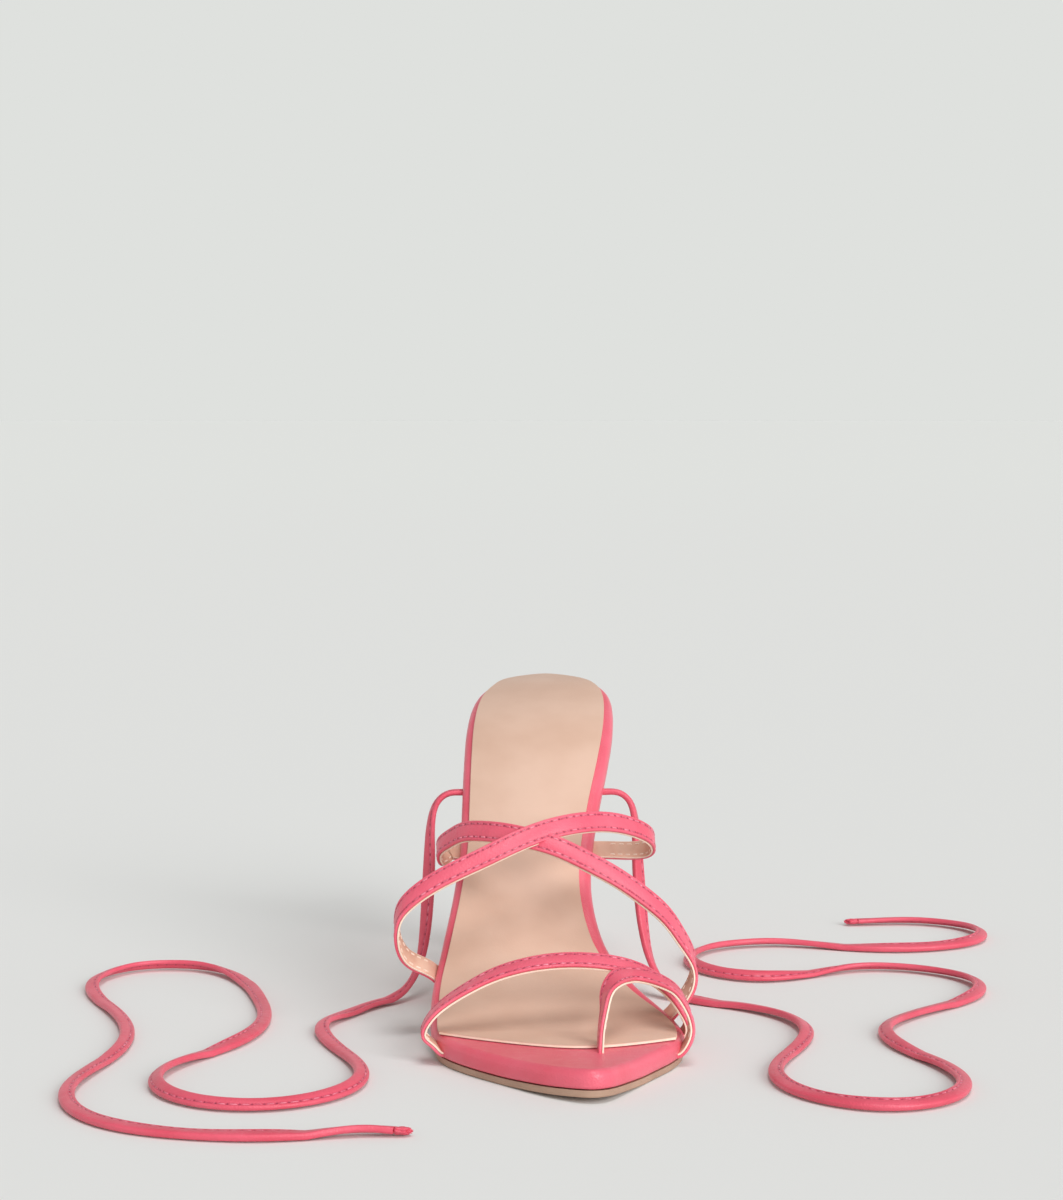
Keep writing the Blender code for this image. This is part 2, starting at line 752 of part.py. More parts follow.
def boolean(piece, other, operation):
    change = piece.modifiers.new(other.name, "BOOLEAN")
    change.operation = operation
    change.solver = "EXACT"
    change.object = other


def join_straps(name, first, second, height, look):
    """Two straps sewn together where they cross, as one solid."""
    piece = strap_solid(name, first, height, look)
    other = guide(strap_solid(name + "_second", second, height, look))
    boolean(piece, other, "UNION")
    return piece


def cut_slots(pieces, straps):
    """Cut the room for each let in strap end out of the pieces, a gap wider all round."""
    for index, (points, height) in enumerate(straps):
        slot = guide(strap_solid("slot_%d" % index, points, height, None, FIT_GAP, SLOT_OPENING))
        for piece in pieces:
            boolean(piece, slot, "DIFFERENCE")


def make_lace(name, side, route, look):
    y = along(LACE_EXIT)
    x = sole_edge(y, side, -2.0 * FIT_GAP)[0]
    start = below_footbed(x, y, LACE_EXIT_DEPTH)
    path = smooth_path([start] + [Vector(p) for p in route], SECTION_SPACING / 2.0)
    walked = np.concatenate(([0.0], np.cumsum(np.linalg.norm(np.diff(path, axis=0), axis=1))))
    at = np.linspace(0.0, LACE_LENGTH - LACE_TIP_LENGTH, LACE_POINTS)
    points = np.stack([np.interp(at, walked, path[:, k]) for k in range(3)], axis=1)
    curve = bpy.data.curves.new(name, "CURVE")
    curve.dimensions = "3D"
    curve.bevel_depth = LACE_THICKNESS / 2.0
    curve.bevel_resolution = 2
    curve.use_fill_caps = True
    spline = curve.splines.new("POLY")
    spline.points.add(len(points) - 1)
    for knot, point in zip(spline.points, points):
        knot.co = (*point, 1.0)
    curve.materials.append(look)
    made = bpy.data.objects.new(name, curve)
    bpy.context.scene.collection.objects.link(made)
    way = points[-1] - points[-2]
    make_lace_tip(name + "_tip", points[-1], way / np.linalg.norm(way), look)
    return made


def make_lace_tip(name, start, way, look):
    """The crushed end of a lace, a little wider than the lace."""
    side = np.array([way[1], -way[0], 0.0])
    rings = []
    for place, size in LACE_TIP_SECTIONS:
        centre = start + way * (FIT_GAP + LACE_TIP_LENGTH * place)
        ring = []
        for k in range(LACE_TIP_SIDES):
            turn = 2.0 * math.pi * k / LACE_TIP_SIDES
            wide = side * math.cos(turn) * LACE_TIP_WIDTH / 2.0 * size
            tall = np.array([0.0, 0.0, math.sin(turn) * LACE_THICKNESS / 2.0 * size])
            ring.append(tuple(centre + wide + tall))
        rings.append(ring)
    return loft(name, rings, look, flat_cap)


def main():
    clear_scene()
    pink = material("pink_leather", (0.86, 0.12, 0.20), 0.5)
    nude = material("nude_insole", (0.78, 0.52, 0.36), 0.6)
    taupe = material("taupe_outsole", (0.34, 0.24, 0.18), 0.55)
    dark = material("tan_top_piece", (0.30, 0.20, 0.14), 0.6)
    make_outsole(taupe)
    board = make_board(pink)
    insole = make_insole(nude)
    make_heel(pink)
    make_top_piece(dark)
    join_straps("toe_straps", toe_strap_points(), toe_loop_points(), TOE_HEIGHT, pink)
    join_straps("instep_straps", over_strap_points(), under_strap_points(), INSTEP_HEIGHT, pink)
    cut_slots([board, insole], [
        (toe_strap_points(), TOE_HEIGHT),
        (toe_loop_points(), TOE_HEIGHT),
        (over_strap_points(), INSTEP_HEIGHT),
        (under_strap_points(), INSTEP_HEIGHT),
    ])
    make_lace("lace_lateral", -1, LATERAL_LACE, pink)
    make_lace("lace_medial", 1, MEDIAL_LACE, pink)


main()
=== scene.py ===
# %% [markdown]
# # A lace up sandal on a thin heel
# The sandal is put together like the real one: an outsole, a wrapped footbed board, a sock
# on top of it, a covered heel with its top piece, two pairs of narrow straps and two laces.
# Each piece is first made flat, as it is cut and stitched on the bench, and is then moulded
# over the last or laid along its route. That keeps edges, seams and stitches even.

# %% The frame
import math

import bmesh
import bpy
import numpy as np
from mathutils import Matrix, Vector, noise


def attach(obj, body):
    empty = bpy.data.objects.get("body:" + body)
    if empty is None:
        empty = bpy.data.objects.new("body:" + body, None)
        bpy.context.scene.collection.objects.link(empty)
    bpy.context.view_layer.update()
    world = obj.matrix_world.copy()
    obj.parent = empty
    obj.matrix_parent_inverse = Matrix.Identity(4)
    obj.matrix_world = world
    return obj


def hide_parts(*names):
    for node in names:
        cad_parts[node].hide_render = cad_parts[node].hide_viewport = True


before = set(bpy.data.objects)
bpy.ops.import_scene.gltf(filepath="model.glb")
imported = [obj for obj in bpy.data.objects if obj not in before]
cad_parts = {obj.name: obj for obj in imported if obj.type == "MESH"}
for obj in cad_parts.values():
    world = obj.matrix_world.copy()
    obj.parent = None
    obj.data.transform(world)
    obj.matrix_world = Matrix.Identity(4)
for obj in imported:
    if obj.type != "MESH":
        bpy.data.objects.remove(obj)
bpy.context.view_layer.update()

MM = 0.001
BODY = "root"
print("Nodes in the frame:", ", ".join(sorted(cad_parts)))

# %% [markdown]
# ## The camera
# The picture was taken from the front, a little above the sandal and a little to its
# outer side, with a long lens. The camera gets the same place, turn and lens.

# %% Camera
PICTURE_WIDTH = 1063
LENS_IN_PIXELS = 2600
FILM_WIDTH = 36.0
CAMERA_PLACE = (-0.0456, -0.8159, 0.208)
CAMERA_DIP = math.radians(4.0)
CAMERA_TURN = math.radians(-2.5)

bpy.ops.object.camera_add(location=CAMERA_PLACE, rotation=(math.pi / 2.0 - CAMERA_DIP, 0.0, CAMERA_TURN))
camera = bpy.context.object
camera.name = "front_camera"
camera.data.sensor_fit = "HORIZONTAL"
camera.data.sensor_width = FILM_WIDTH
camera.data.lens = FILM_WIDTH * LENS_IN_PIXELS / PICTURE_WIDTH
bpy.context.scene.camera = camera
print("Lens:", round(camera.data.lens, 1), "mm")

# %% [markdown]
# ## The last
# Shoemakers build everything round a last, and so does this file. Its bottom curve runs
# flat under the ball, rises through the arch and flattens again in the seat. Its outline
# is a table of shares: place along the sole, lateral edge, medial edge.

# %% The last's sizes
SOLE_LENGTH = 240 * MM
BALL_WIDTH = 83 * MM
SEAT_HEIGHT = 107.5 * MM
TOE_TO_TREAD = 40 * MM
TREAD_LENGTH = 28 * MM
TOE_SPRING = 2 * MM
OUTSOLE_THICKNESS = 2.2 * MM
BOARD_THICKNESS = 6.2 * MM
FIT_GAP = 0.3 * MM
SOLE_STACK = OUTSOLE_THICKNESS + FIT_GAP + BOARD_THICKNESS

# Place from the tread to the toe tip or to the heel's back, and share of the rise there
TOE_CURVE = ((0.54, 0.40), (1.00, 1.00))
ARCH_CURVE = (
    (0.081, 0.033), (0.180, 0.127), (0.293, 0.294), (0.406, 0.481), (0.520, 0.654),
    (0.634, 0.799), (0.732, 0.888), (0.813, 0.935), (0.900, 0.973), (1.000, 1.000),
)
# The outline's two ends: place along the sole, place across it
TOE_TIP = (0.0, 0.084)
HEEL_BACK = (1.0, 0.048)
# Place along the sole, lateral edge, medial edge
OUTLINE = (
    (0.012, 0.004, 0.152),
    (0.042, -0.100, 0.212),
    (0.083, -0.205, 0.284),
    (0.125, -0.312, 0.359),
    (0.167, -0.402, 0.430),
    (0.208, -0.465, 0.475),
    (0.250, -0.498, 0.489),
    (0.300, -0.506, 0.432),
    (0.355, -0.492, 0.314),
    (0.415, -0.453, 0.212),
    (0.480, -0.408, 0.174),
    (0.540, -0.377, 0.187),
    (0.610, -0.364, 0.229),
    (0.690, -0.351, 0.284),
    (0.770, -0.333, 0.322),
    (0.855, -0.296, 0.334),
    (0.915, -0.238, 0.310),
    (0.967, -0.153, 0.232),
)
OUTLINE_STEPS = 6
EDGE_STEPS = 4


# %% The last's curves
def smooth_curve(places, values):
    """A smooth curve through the points that never swings past them."""
    x = np.array(places, dtype=float)
    y = np.array(values, dtype=float)
    step = np.diff(x)
    slope = np.diff(y) / step
    tangent = np.concatenate(([slope[0]], np.zeros(len(x) - 2), [slope[-1]]))
    for i in range(1, len(x) - 1):
        if slope[i - 1] * slope[i] > 0.0:
            before = 2.0 * step[i] + step[i - 1]
            after = step[i] + 2.0 * step[i - 1]
            tangent[i] = (before + after) / (before / slope[i - 1] + after / slope[i])

    def value(at):
        at = min(max(at, x[0]), x[-1])
        i = min(int(np.searchsorted(x, at, side="right")) - 1, len(step) - 1)
        t = (at - x[i]) / step[i]
        start = (y[i] * (1.0 + 2.0 * t) + tangent[i] * step[i] * t) * (1.0 - t) ** 2
        end = (y[i + 1] * (3.0 - 2.0 * t) - tangent[i + 1] * step[i] * (1.0 - t)) * t ** 2
        return start + end

    return value


def along(share):
    return share * SOLE_LENGTH - TOE_TO_TREAD


def make_footbed_height():
    half_tread = TREAD_LENGTH / 2.0
    toe_run = TOE_TO_TREAD - half_tread
    arch_run = SOLE_LENGTH - TOE_TO_TREAD - half_tread
    rise = SEAT_HEIGHT - SOLE_STACK
    rows = [(-half_tread - toe_run * place, SOLE_STACK + TOE_SPRING * lift)
            for place, lift in reversed(TOE_CURVE)]
    rows += [(-half_tread, SOLE_STACK), (half_tread, SOLE_STACK)]
    rows += [(half_tread + arch_run * place, SOLE_STACK + rise * lift) for place, lift in ARCH_CURVE]
    return smooth_curve([row[0] for row in rows], [row[1] for row in rows])


footbed_height = make_footbed_height()


def footbed_slope(y):
    reach = 1 * MM
    return math.atan2(footbed_height(y + reach) - footbed_height(y - reach), 2.0 * reach)


def below_footbed(x, y, depth):
    """The point that lies this deep under the footbed, square to it."""
    slope = footbed_slope(y)
    return Vector((x, y + depth * math.sin(slope), footbed_height(y) - depth * math.cos(slope)))


def sole_outline(inset=0.0, steps=OUTLINE_STEPS):
    """The sole seen from above: toe tip, lateral side, heel, then back up the medial side."""
    points = [(TOE_TIP[1] * BALL_WIDTH, along(TOE_TIP[0]))]
    points += [(lateral * BALL_WIDTH, along(place)) for place, lateral, medial in OUTLINE]
    points += [(HEEL_BACK[1] * BALL_WIDTH, along(HEEL_BACK[0]))]
    points += [(medial * BALL_WIDTH, along(place)) for place, lateral, medial in reversed(OUTLINE)]
    count = len(points)
    curve = []
    for i in range(count):
        a, b, c, d = (np.array(points[(i + k) % count]) for k in (-1, 0, 1, 2))
        for step in range(steps):
            t = step / steps
            curve.append(0.5 * (2.0 * b + (c - a) * t + (2.0 * a - 5.0 * b + 4.0 * c - d) * t ** 2
                                + (3.0 * b - a - 3.0 * c + d) * t ** 3))
    curve = np.array(curve)
    run = np.roll(curve, -1, axis=0) - np.roll(curve, 1, axis=0)
    run /= np.linalg.norm(run, axis=1)[:, None]
    inward = np.stack([run[:, 1], -run[:, 0]], axis=1)
    return curve + inward * inset


def sole_edge(y, side, inset=0.0):
    """The sole's edge at this place, with the way straight out of it. Side -1 is lateral."""
    curve = sole_outline(inset, EDGE_STEPS)
    back = len(curve) // 2
    half = curve[:back + 1] if side < 0 else np.vstack([curve[back:], curve[:1]])[::-1]
    reach = 2 * MM
    x, ahead, behind = (float(np.interp(y + move, half[:, 1], half[:, 0])) for move in (0.0, reach, -reach))
    out = Vector((side * 2.0 * reach, -side * (ahead - behind), 0.0)).normalized()
    return x, out


print("Seat height:", round(footbed_height(along(1.0)) / MM, 1), "mm")


# %% [markdown]
# ## Laying a flat piece along a route
# Straps and laces are long, narrow and stitched, so they are made flat along X and bent
# afterwards. A route is one smooth curve through chosen points, with a way across the
# piece and a way out of its face at every half millimetre.

# %% Routes
ROUTE_STEP = 0.5 * MM
CURVE_STEPS = 24


def smooth_route(points):
    """Even steps along one natural cubic curve through the chosen points."""
    route = np.array([tuple(p) for p in points])
    chord = np.concatenate(([0.0], np.cumsum(np.linalg.norm(np.diff(route, axis=0), axis=1))))
    step = np.diff(chord)
    size = len(route)
    system = np.zeros((size, size))
    target = np.zeros((size, 3))
    system[0, 0] = system[-1, -1] = 1.0
    for i in range(1, size - 1):
        system[i, i - 1:i + 2] = step[i - 1], 2.0 * (step[i - 1] + step[i]), step[i]
        target[i] = 6.0 * ((route[i + 1] - route[i]) / step[i] - (route[i] - route[i - 1]) / step[i - 1])
    bend = np.linalg.solve(system, target)
    dense = []
    for i in range(size - 1):
        for t in np.linspace(0.0, 1.0, CURVE_STEPS, endpoint=False):
            a = 1.0 - t
            dense.append(a * route[i] + t * route[i + 1]
                         + step[i] ** 2 / 6.0 * ((a ** 3 - a) * bend[i] + (t ** 3 - t) * bend[i + 1]))
    dense = np.array(dense + [route[-1]])
    walked = np.concatenate(([0.0], np.cumsum(np.linalg.norm(np.diff(dense, axis=0), axis=1))))
    at = np.arange(0.0, walked[-1], ROUTE_STEP)
    return np.stack([np.interp(at, walked, dense[:, k]) for k in range(3)], axis=1)


def unit(rows):
    return rows / np.linalg.norm(rows, axis=1)[:, None]


def lay_along(piece, path, across, out):
    """Bend a flat piece: its X runs along the path, its Y across it and its Z out of its face."""
    way = unit(np.gradient(path, axis=0))
    last = len(path) - 1
    for point in piece.data.vertices:
        place = point.co.x / ROUTE_STEP
        low = int(min(max(math.floor(place), 0), last - 1))
        share = place - low
        held = min(max(share, 0.0), 1.0)
        centre = path[low] + (path[low + 1] - path[low]) * held + way[low] * (share - held) * ROUTE_STEP
        side = across[low] + (across[low + 1] - across[low]) * held
        face = out[low] + (out[low + 1] - out[low]) * held
        point.co = centre + side * point.co.y + face * point.co.z
    piece.data.update()


# %% [markdown]
# ## Modelling by hand, in code
# The next helpers stand for the hand on the mouse. One goes into edit mode on a single
# piece, one picks points or edges by their place, and one leaves edit mode again.

# %% Hands
CLOSE = 0.01 * MM
STRAIGHT = 0.001 * MM
# Faces that meet at less than this many degrees are shaded as one surface
SHEET_ANGLE = 40
HEEL_ANGLE = 35
STRIP_ANGLE = 60
KNOB_ANGLE = 70
STITCH_ANGLE = 80


def only(piece):
    bpy.ops.object.select_all(action="DESELECT")
    piece.select_set(True)
    bpy.context.view_layer.objects.active = piece


def start(name, operator, **settings):
    """Add one primitive with nothing else selected."""
    bpy.ops.object.select_all(action="DESELECT")
    operator(**settings)
    piece = bpy.context.object
    piece.name = piece.data.name = name
    bpy.ops.object.transform_apply(location=True, rotation=True, scale=True)
    return piece


def open_edit(piece):
    only(piece)
    bpy.ops.object.mode_set(mode="EDIT")
    bpy.ops.mesh.select_mode(type="VERT")
    bpy.ops.mesh.select_all(action="SELECT")


def close_edit():
    bpy.ops.object.mode_set(mode="OBJECT")


def pick(piece, kind, wanted):
    """Select the points or edges that the test says yes to."""
    bpy.ops.mesh.select_mode(type=kind)
    bpy.ops.mesh.select_all(action="DESELECT")
    shape = bmesh.from_edit_mesh(piece.data)
    items = {"VERT": shape.verts, "EDGE": shape.edges}[kind]
    for item in items:
        if wanted(item):
            item.select_set(True)
    shape.select_flush_mode()
    bmesh.update_edit_mesh(piece.data)


def slice_at(places, normal):
    """Cut the whole piece across at each place along the normal."""
    for place in places:
        bpy.ops.mesh.select_all(action="SELECT")
        bpy.ops.mesh.bisect(plane_co=[place * part for part in normal], plane_no=normal)


def runs_along_x(edge):
    way = edge.verts[1].co - edge.verts[0].co
    return abs(way.y) < STRAIGHT and abs(way.z) < STRAIGHT


def smooth(piece, degrees=SHEET_ANGLE):
    only(piece)
    bpy.ops.object.shade_smooth_by_angle(angle=math.radians(degrees))


def join(name, pieces):
    """Make one piece of several."""
    bpy.ops.object.select_all(action="DESELECT")
    for piece in pieces:
        piece.select_set(True)
    bpy.context.view_layer.objects.active = pieces[0]
    bpy.ops.object.join()
    made = bpy.context.object
    made.name = made.data.name = name
    return made


def keep_flat_place(piece):
    """Write each point's place on the bench into an attribute, so that a finish can follow it."""
    flat = piece.data.attributes.new("flat", "FLOAT_VECTOR", "POINT")
    flat.data.foreach_set("vector", [value for point in piece.data.vertices for value in point.co])


def settle(piece, slot, look, *nodes):
    """Give a finished piece its finish, its body and the solids it stands for. The slot is not used."""
    piece.data.materials.clear()
    piece.data.materials.append(look)
    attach(piece, BODY)
    if nodes:
        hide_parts(*nodes)
    print(piece.name, len(piece.data.polygons), "faces")


# %% [markdown]
# ## Flat strips and rows of stitches
# A strip starts as a box. Its long edges are rounded, it is cut across so that it can
# bend, and along each seam it is pressed in where the thread pulls the leather down.
# A stitch is modelled once, as a short thread that dips into its hole at both ends, and an
# Array modifier repeats it at the stitch length.

# %% Strips
BEND_STEP = 1.1 * MM


def flat_strip(name, length, width, low, high, rounding, rounds=3, start_at=0.0):
    """A strip along X with round long edges, cut across twice over so that it can bend."""
    strip = start(name, bpy.ops.mesh.primitive_cube_add, size=1,
                  location=((start_at + length) / 2.0, 0, (low + high) / 2.0),
                  scale=(length - start_at, width, high - low))
    cuts = math.ceil(math.sqrt((length - start_at) / BEND_STEP)) - 1
    open_edit(strip)
    pick(strip, "EDGE", runs_along_x)
    bpy.ops.mesh.bevel(offset=rounding, segments=rounds, affect="EDGES")
    for again in range(2):
        pick(strip, "EDGE", runs_along_x)
        bpy.ops.mesh.subdivide(number_cuts=cuts)
    close_edit()
    return strip


def press_seam(strip, seam, half_width, depth, middle):
    """Press the strip in along a seam, on its face and on its back."""
    open_edit(strip)
    slice_at((seam - half_width, seam, seam + half_width), (0, 1, 0))
    for side in (1, -1):
        pick(strip, "VERT", lambda point: abs(point.co.y - seam) < CLOSE
             and (point.co.z - middle) * side > 0)
        bpy.ops.transform.translate(value=(0, 0, -side * depth))
    close_edit()


# %% Stitches
THREAD_THICKNESS = 0.58 * MM
THREAD_FLATNESS = 0.8
THREAD_ROUNDING = 0.3
STITCH_SHARE = 0.72
STITCH_CUTS = 5
# Distance from the stitch's middle as a share of it, dip in threads, thickness left
STITCH_DIPS = (
    (0.50, 0.75, 0.55),
    (0.34, 0.22, 0.90),
)


def stitch_row(name, length, pitch, across, height, thread=THREAD_THICKNESS, facing=1, skip=0):
    """A row of stitches along X, each one a thread that dips into its holes."""
    middle = pitch * (skip + 0.5)
    stitch = start(name, bpy.ops.mesh.primitive_cube_add, size=1, location=(middle, across, height),
                   scale=(pitch * STITCH_SHARE, thread, thread * THREAD_FLATNESS))
    open_edit(stitch)
    pick(stitch, "EDGE", runs_along_x)
    bpy.ops.mesh.bevel(offset=thread * THREAD_ROUNDING, segments=2, affect="EDGES")
    pick(stitch, "EDGE", runs_along_x)
    bpy.ops.mesh.subdivide(number_cuts=STITCH_CUTS)
    for share, drop, thin in STITCH_DIPS:
        reach = pitch * STITCH_SHARE * share - CLOSE
        pick(stitch, "VERT", lambda point: abs(point.co.x - middle) > reach)
        bpy.ops.transform.translate(value=(0, 0, -facing * thread * drop))
        bpy.ops.transform.resize(value=(1, thin, thin), center_override=(middle, across, height))
    close_edit()
    smooth(stitch, STITCH_ANGLE)
    repeat = stitch.modifiers.new("repeat", "ARRAY")
    repeat.count = int(length / pitch) - 2 * skip
    repeat.use_relative_offset = False
    repeat.use_constant_offset = True
    repeat.constant_offset_displace = (pitch, 0, 0)
    only(stitch)
    bpy.ops.object.modifier_apply(modifier="repeat")
    return stitch


# %% [markdown]
# ## The laces
# Each lace is a strip of the upper's leather, folded and sewn along one side, about 5 mm
# wide. It comes out from under the sole's edge behind the instep. Untied, it drops to the
# floor and lies there flat, in loose curves. A cord curve would give a round lace, so the
# flat strip is laid along the route instead.

# %% Lace routes
LEAN_MOST = math.radians(34.0)
LEAN_RADIUS = 26 * MM
LEAN_SMOOTHING = 24 * MM
LEAN_SWAY = math.radians(14.0)
LEAN_SWAY_LENGTH = 45 * MM
LEAN_SWAY_SPREAD = 50.0
TWIST_MOST = math.radians(55.0)
TWIST_LENGTH = 85 * MM
LACE_LENGTH = 835 * MM
LACE_WIDTH = 5.0 * MM
LACE_THICKNESS = 2.2 * MM
LACE_TIP_LENGTH = 6 * MM
LACE_EXIT = 0.648
LACE_EXIT_DEPTH = 5 * MM
# Points of each lace's middle line in metres, listed from the sole to its end
LATERAL_LACE = (
    (-0.0350, 0.1182, 0.0722),
    (-0.0388, 0.1178, 0.0694),
    (-0.0408, 0.1172, 0.0640),
    (-0.0417, 0.1160, 0.0520),
    (-0.0424, 0.1145, 0.0370),
    (-0.0436, 0.1120, 0.0220),
    (-0.0464, 0.1080, 0.0100),
    (-0.0515, 0.1025, 0.0034),
    (-0.0600, 0.0940, 0.0013),
    (-0.0700, 0.0790, 0.0013),
    (-0.0780, 0.0620, 0.0013),
    (-0.0760, 0.0400, 0.0013),
    (-0.0690, 0.0190, 0.0013),
    (-0.0640, -0.0040, 0.0013),
    (-0.0680, -0.0260, 0.0013),
    (-0.0840, -0.0410, 0.0013),
    (-0.1060, -0.0420, 0.0013),
    (-0.1230, -0.0280, 0.0013),
    (-0.1280, -0.0060, 0.0013),
    (-0.1200, 0.0160, 0.0013),
    (-0.1070, 0.0360, 0.0013),
    (-0.1000, 0.0590, 0.0013),
    (-0.1040, 0.1090, 0.0013),
    (-0.1120, 0.1360, 0.0013),
    (-0.1290, 0.1560, 0.0013),
    (-0.1510, 0.1560, 0.0013),
    (-0.1640, 0.1370, 0.0013),
    (-0.1620, 0.1120, 0.0013),
    (-0.1530, 0.0880, 0.0013),
    (-0.1450, 0.0600, 0.0013),
    (-0.1440, 0.0310, 0.0013),
    (-0.1500, 0.0040, 0.0013),
    (-0.1540, -0.0200, 0.0013),
    (-0.1490, -0.0440, 0.0013),
    (-0.1340, -0.0630, 0.0013),
    (-0.1120, -0.0730, 0.0013),
    (-0.0880, -0.0760, 0.0013),
    (-0.0640, -0.0720, 0.0013),
    (-0.0400, -0.0740, 0.0013),
)
MEDIAL_LACE = (
    (0.0268, 0.1182, 0.0722),
    (0.0306, 0.1178, 0.0694),
    (0.0326, 0.1172, 0.0640),
    (0.0335, 0.1158, 0.0520),
    (0.0343, 0.1138, 0.0370),
    (0.0358, 0.1108, 0.0220),
    (0.0390, 0.1064, 0.0100),
    (0.0445, 0.1008, 0.0034),
    (0.0530, 0.0940, 0.0013),
    (0.0660, 0.0850, 0.0013),
    (0.0800, 0.0690, 0.0013),
    (0.0850, 0.0460, 0.0013),
    (0.0700, 0.0030, 0.0013),
    (0.0670, -0.0200, 0.0013),
    (0.0760, -0.0410, 0.0013),
    (0.0950, -0.0520, 0.0013),
    (0.1150, -0.0440, 0.0013),
    (0.1240, -0.0230, 0.0013),
    (0.1210, 0.0000, 0.0013),
    (0.1130, 0.0220, 0.0013),
    (0.1120, 0.0460, 0.0013),
    (0.1400, 0.0820, 0.0013),
    (0.1550, 0.1000, 0.0013),
    (0.1570, 0.1230, 0.0013),
    (0.1420, 0.1410, 0.0013),
    (0.1190, 0.1450, 0.0013),
    (0.0780, 0.1290, 0.0013),
    (0.0620, 0.1420, 0.0013),
    (0.0580, 0.1650, 0.0013),
    (0.0700, 0.1850, 0.0013),
    (0.0920, 0.1930, 0.0013),
    (0.1370, 0.1800, 0.0013),
    (0.1590, 0.1830, 0.0013),
    (0.1760, 0.1960, 0.0013),
    (0.1780, 0.2180, 0.0013),
    (0.1620, 0.2330, 0.0013),
    (0.1160, 0.2340, 0.0013),
    (0.0930, 0.2420, 0.0013),
)


def lace_lean(path, way):
    """A flat lace can't bend sideways, so it leans out of each curve and rises on one edge."""
    heading = np.unwrap(np.arctan2(way[:, 1], way[:, 0]))
    turn = np.gradient(heading) / ROUTE_STEP
    window = np.hanning(int(LEAN_SMOOTHING / ROUTE_STEP))
    turn = np.convolve(turn, window / window.sum(), mode="same")
    walk = np.arange(len(path)) * ROUTE_STEP
    lane = path[0][0] * LEAN_SWAY_SPREAD
    sway = np.array([noise.noise(Vector((at / LEAN_SWAY_LENGTH, lane, 0.0))) for at in walk])
    return LEAN_MOST * np.tanh(turn * LEAN_RADIUS) + LEAN_SWAY * sway


def lace_route(side, rows):
    """The lace's path from the sole's edge to its end, with the ways across it and out of it."""
    y = along(LACE_EXIT)
    start_point = below_footbed(sole_edge(y, side, -2.0 * FIT_GAP)[0], y, LACE_EXIT_DEPTH)
    path = smooth_route([start_point] + [Vector(row) for row in rows])
    path = path[:int((LACE_LENGTH - LACE_TIP_LENGTH) / ROUTE_STEP) + 1]
    way = unit(np.gradient(path, axis=0))
    upright = np.abs(way[:, 2])[:, None]
    face = np.array([0.0, 0.0, 1.0]) * (1.0 - upright) + np.array([side, 0.0, 0.0]) * upright
    face -= way * np.sum(face * way, axis=1)[:, None]
    face = unit(face)
    across = np.cross(face, way)
    lean = lace_lean(path, way)[:, None] * (1.0 - upright)
    hanging = np.clip(np.arange(len(path)) * ROUTE_STEP / TWIST_LENGTH, 0.0, 1.0)[:, None]
    turn = lean + side * TWIST_MOST * np.sin(math.pi * hanging) ** 2
    face = face * np.cos(turn) - across * np.sin(turn)
    path = path + np.array([0.0, 0.0, 1.0]) * (
        np.abs(np.sin(lean)) * LACE_WIDTH / 2.0 + (np.cos(lean) - 1.0) * LACE_THICKNESS / 2.0)
    way = unit(np.gradient(path, axis=0))
    face = unit(face - way * np.sum(face * way, axis=1)[:, None])
    return path, np.cross(face, way), face


# %% Laces
LACE_SEAM = 1.15 * MM
LACE_PITCH = 3.6 * MM
LACE_TUCK = 2 * MM
LACE_THREAD = 0.42 * MM
LACE_THREAD_SINK = 0.30 * MM
LACE_ROUNDING = 0.9 * MM
LACE_SEAM_REACH = 0.55 * MM
LACE_SEAM_DEPTH = 0.42 * MM
LACE_HEM_MARGIN = 0.1 * MM
LACE_HEM_SHARE = 0.78


def make_lace(name):
    """A folded strip with a pressed seam, thinner in the hem beyond the seam."""
    lace = flat_strip(name, LACE_LENGTH - LACE_TIP_LENGTH, LACE_WIDTH, -LACE_THICKNESS / 2.0,
                      LACE_THICKNESS / 2.0, LACE_ROUNDING, rounds=4, start_at=-LACE_TUCK)
    press_seam(lace, LACE_SEAM, LACE_SEAM_REACH, LACE_SEAM_DEPTH, 0.0)
    open_edit(lace)
    pick(lace, "VERT", lambda point: point.co.y > LACE_SEAM + LACE_HEM_MARGIN)
    bpy.ops.transform.resize(value=(1, 1, LACE_HEM_SHARE))
    close_edit()
    smooth(lace, STRIP_ANGLE)
    return lace


# Folds, crumbs and ragged end of the knob: how fine and how deep, on a ball of radius one
FOLD_FINENESS = 2.4
FOLD_DEPTH = 0.26
FOLD_START = Vector((7.3, 1.9, 4.1))
CRUMB_FINENESS = 6.0
CRUMB_DEPTH = 0.11
CRUMB_START = Vector((2.2, 8.4, 0.7))
RAG_FINENESS = 9.0
RAG_DEPTH = 0.30
# How far the knob reaches from its middle, in shares of the end's length, the lace's width
# and, up and down, its thickness. The last share sets the middle along the end.
KNOB_LENGTH = 0.52
KNOB_WIDTH = 0.50
KNOB_HEIGHT = 0.56
KNOB_FLOOR = 0.53
KNOB_PLACE = 0.42


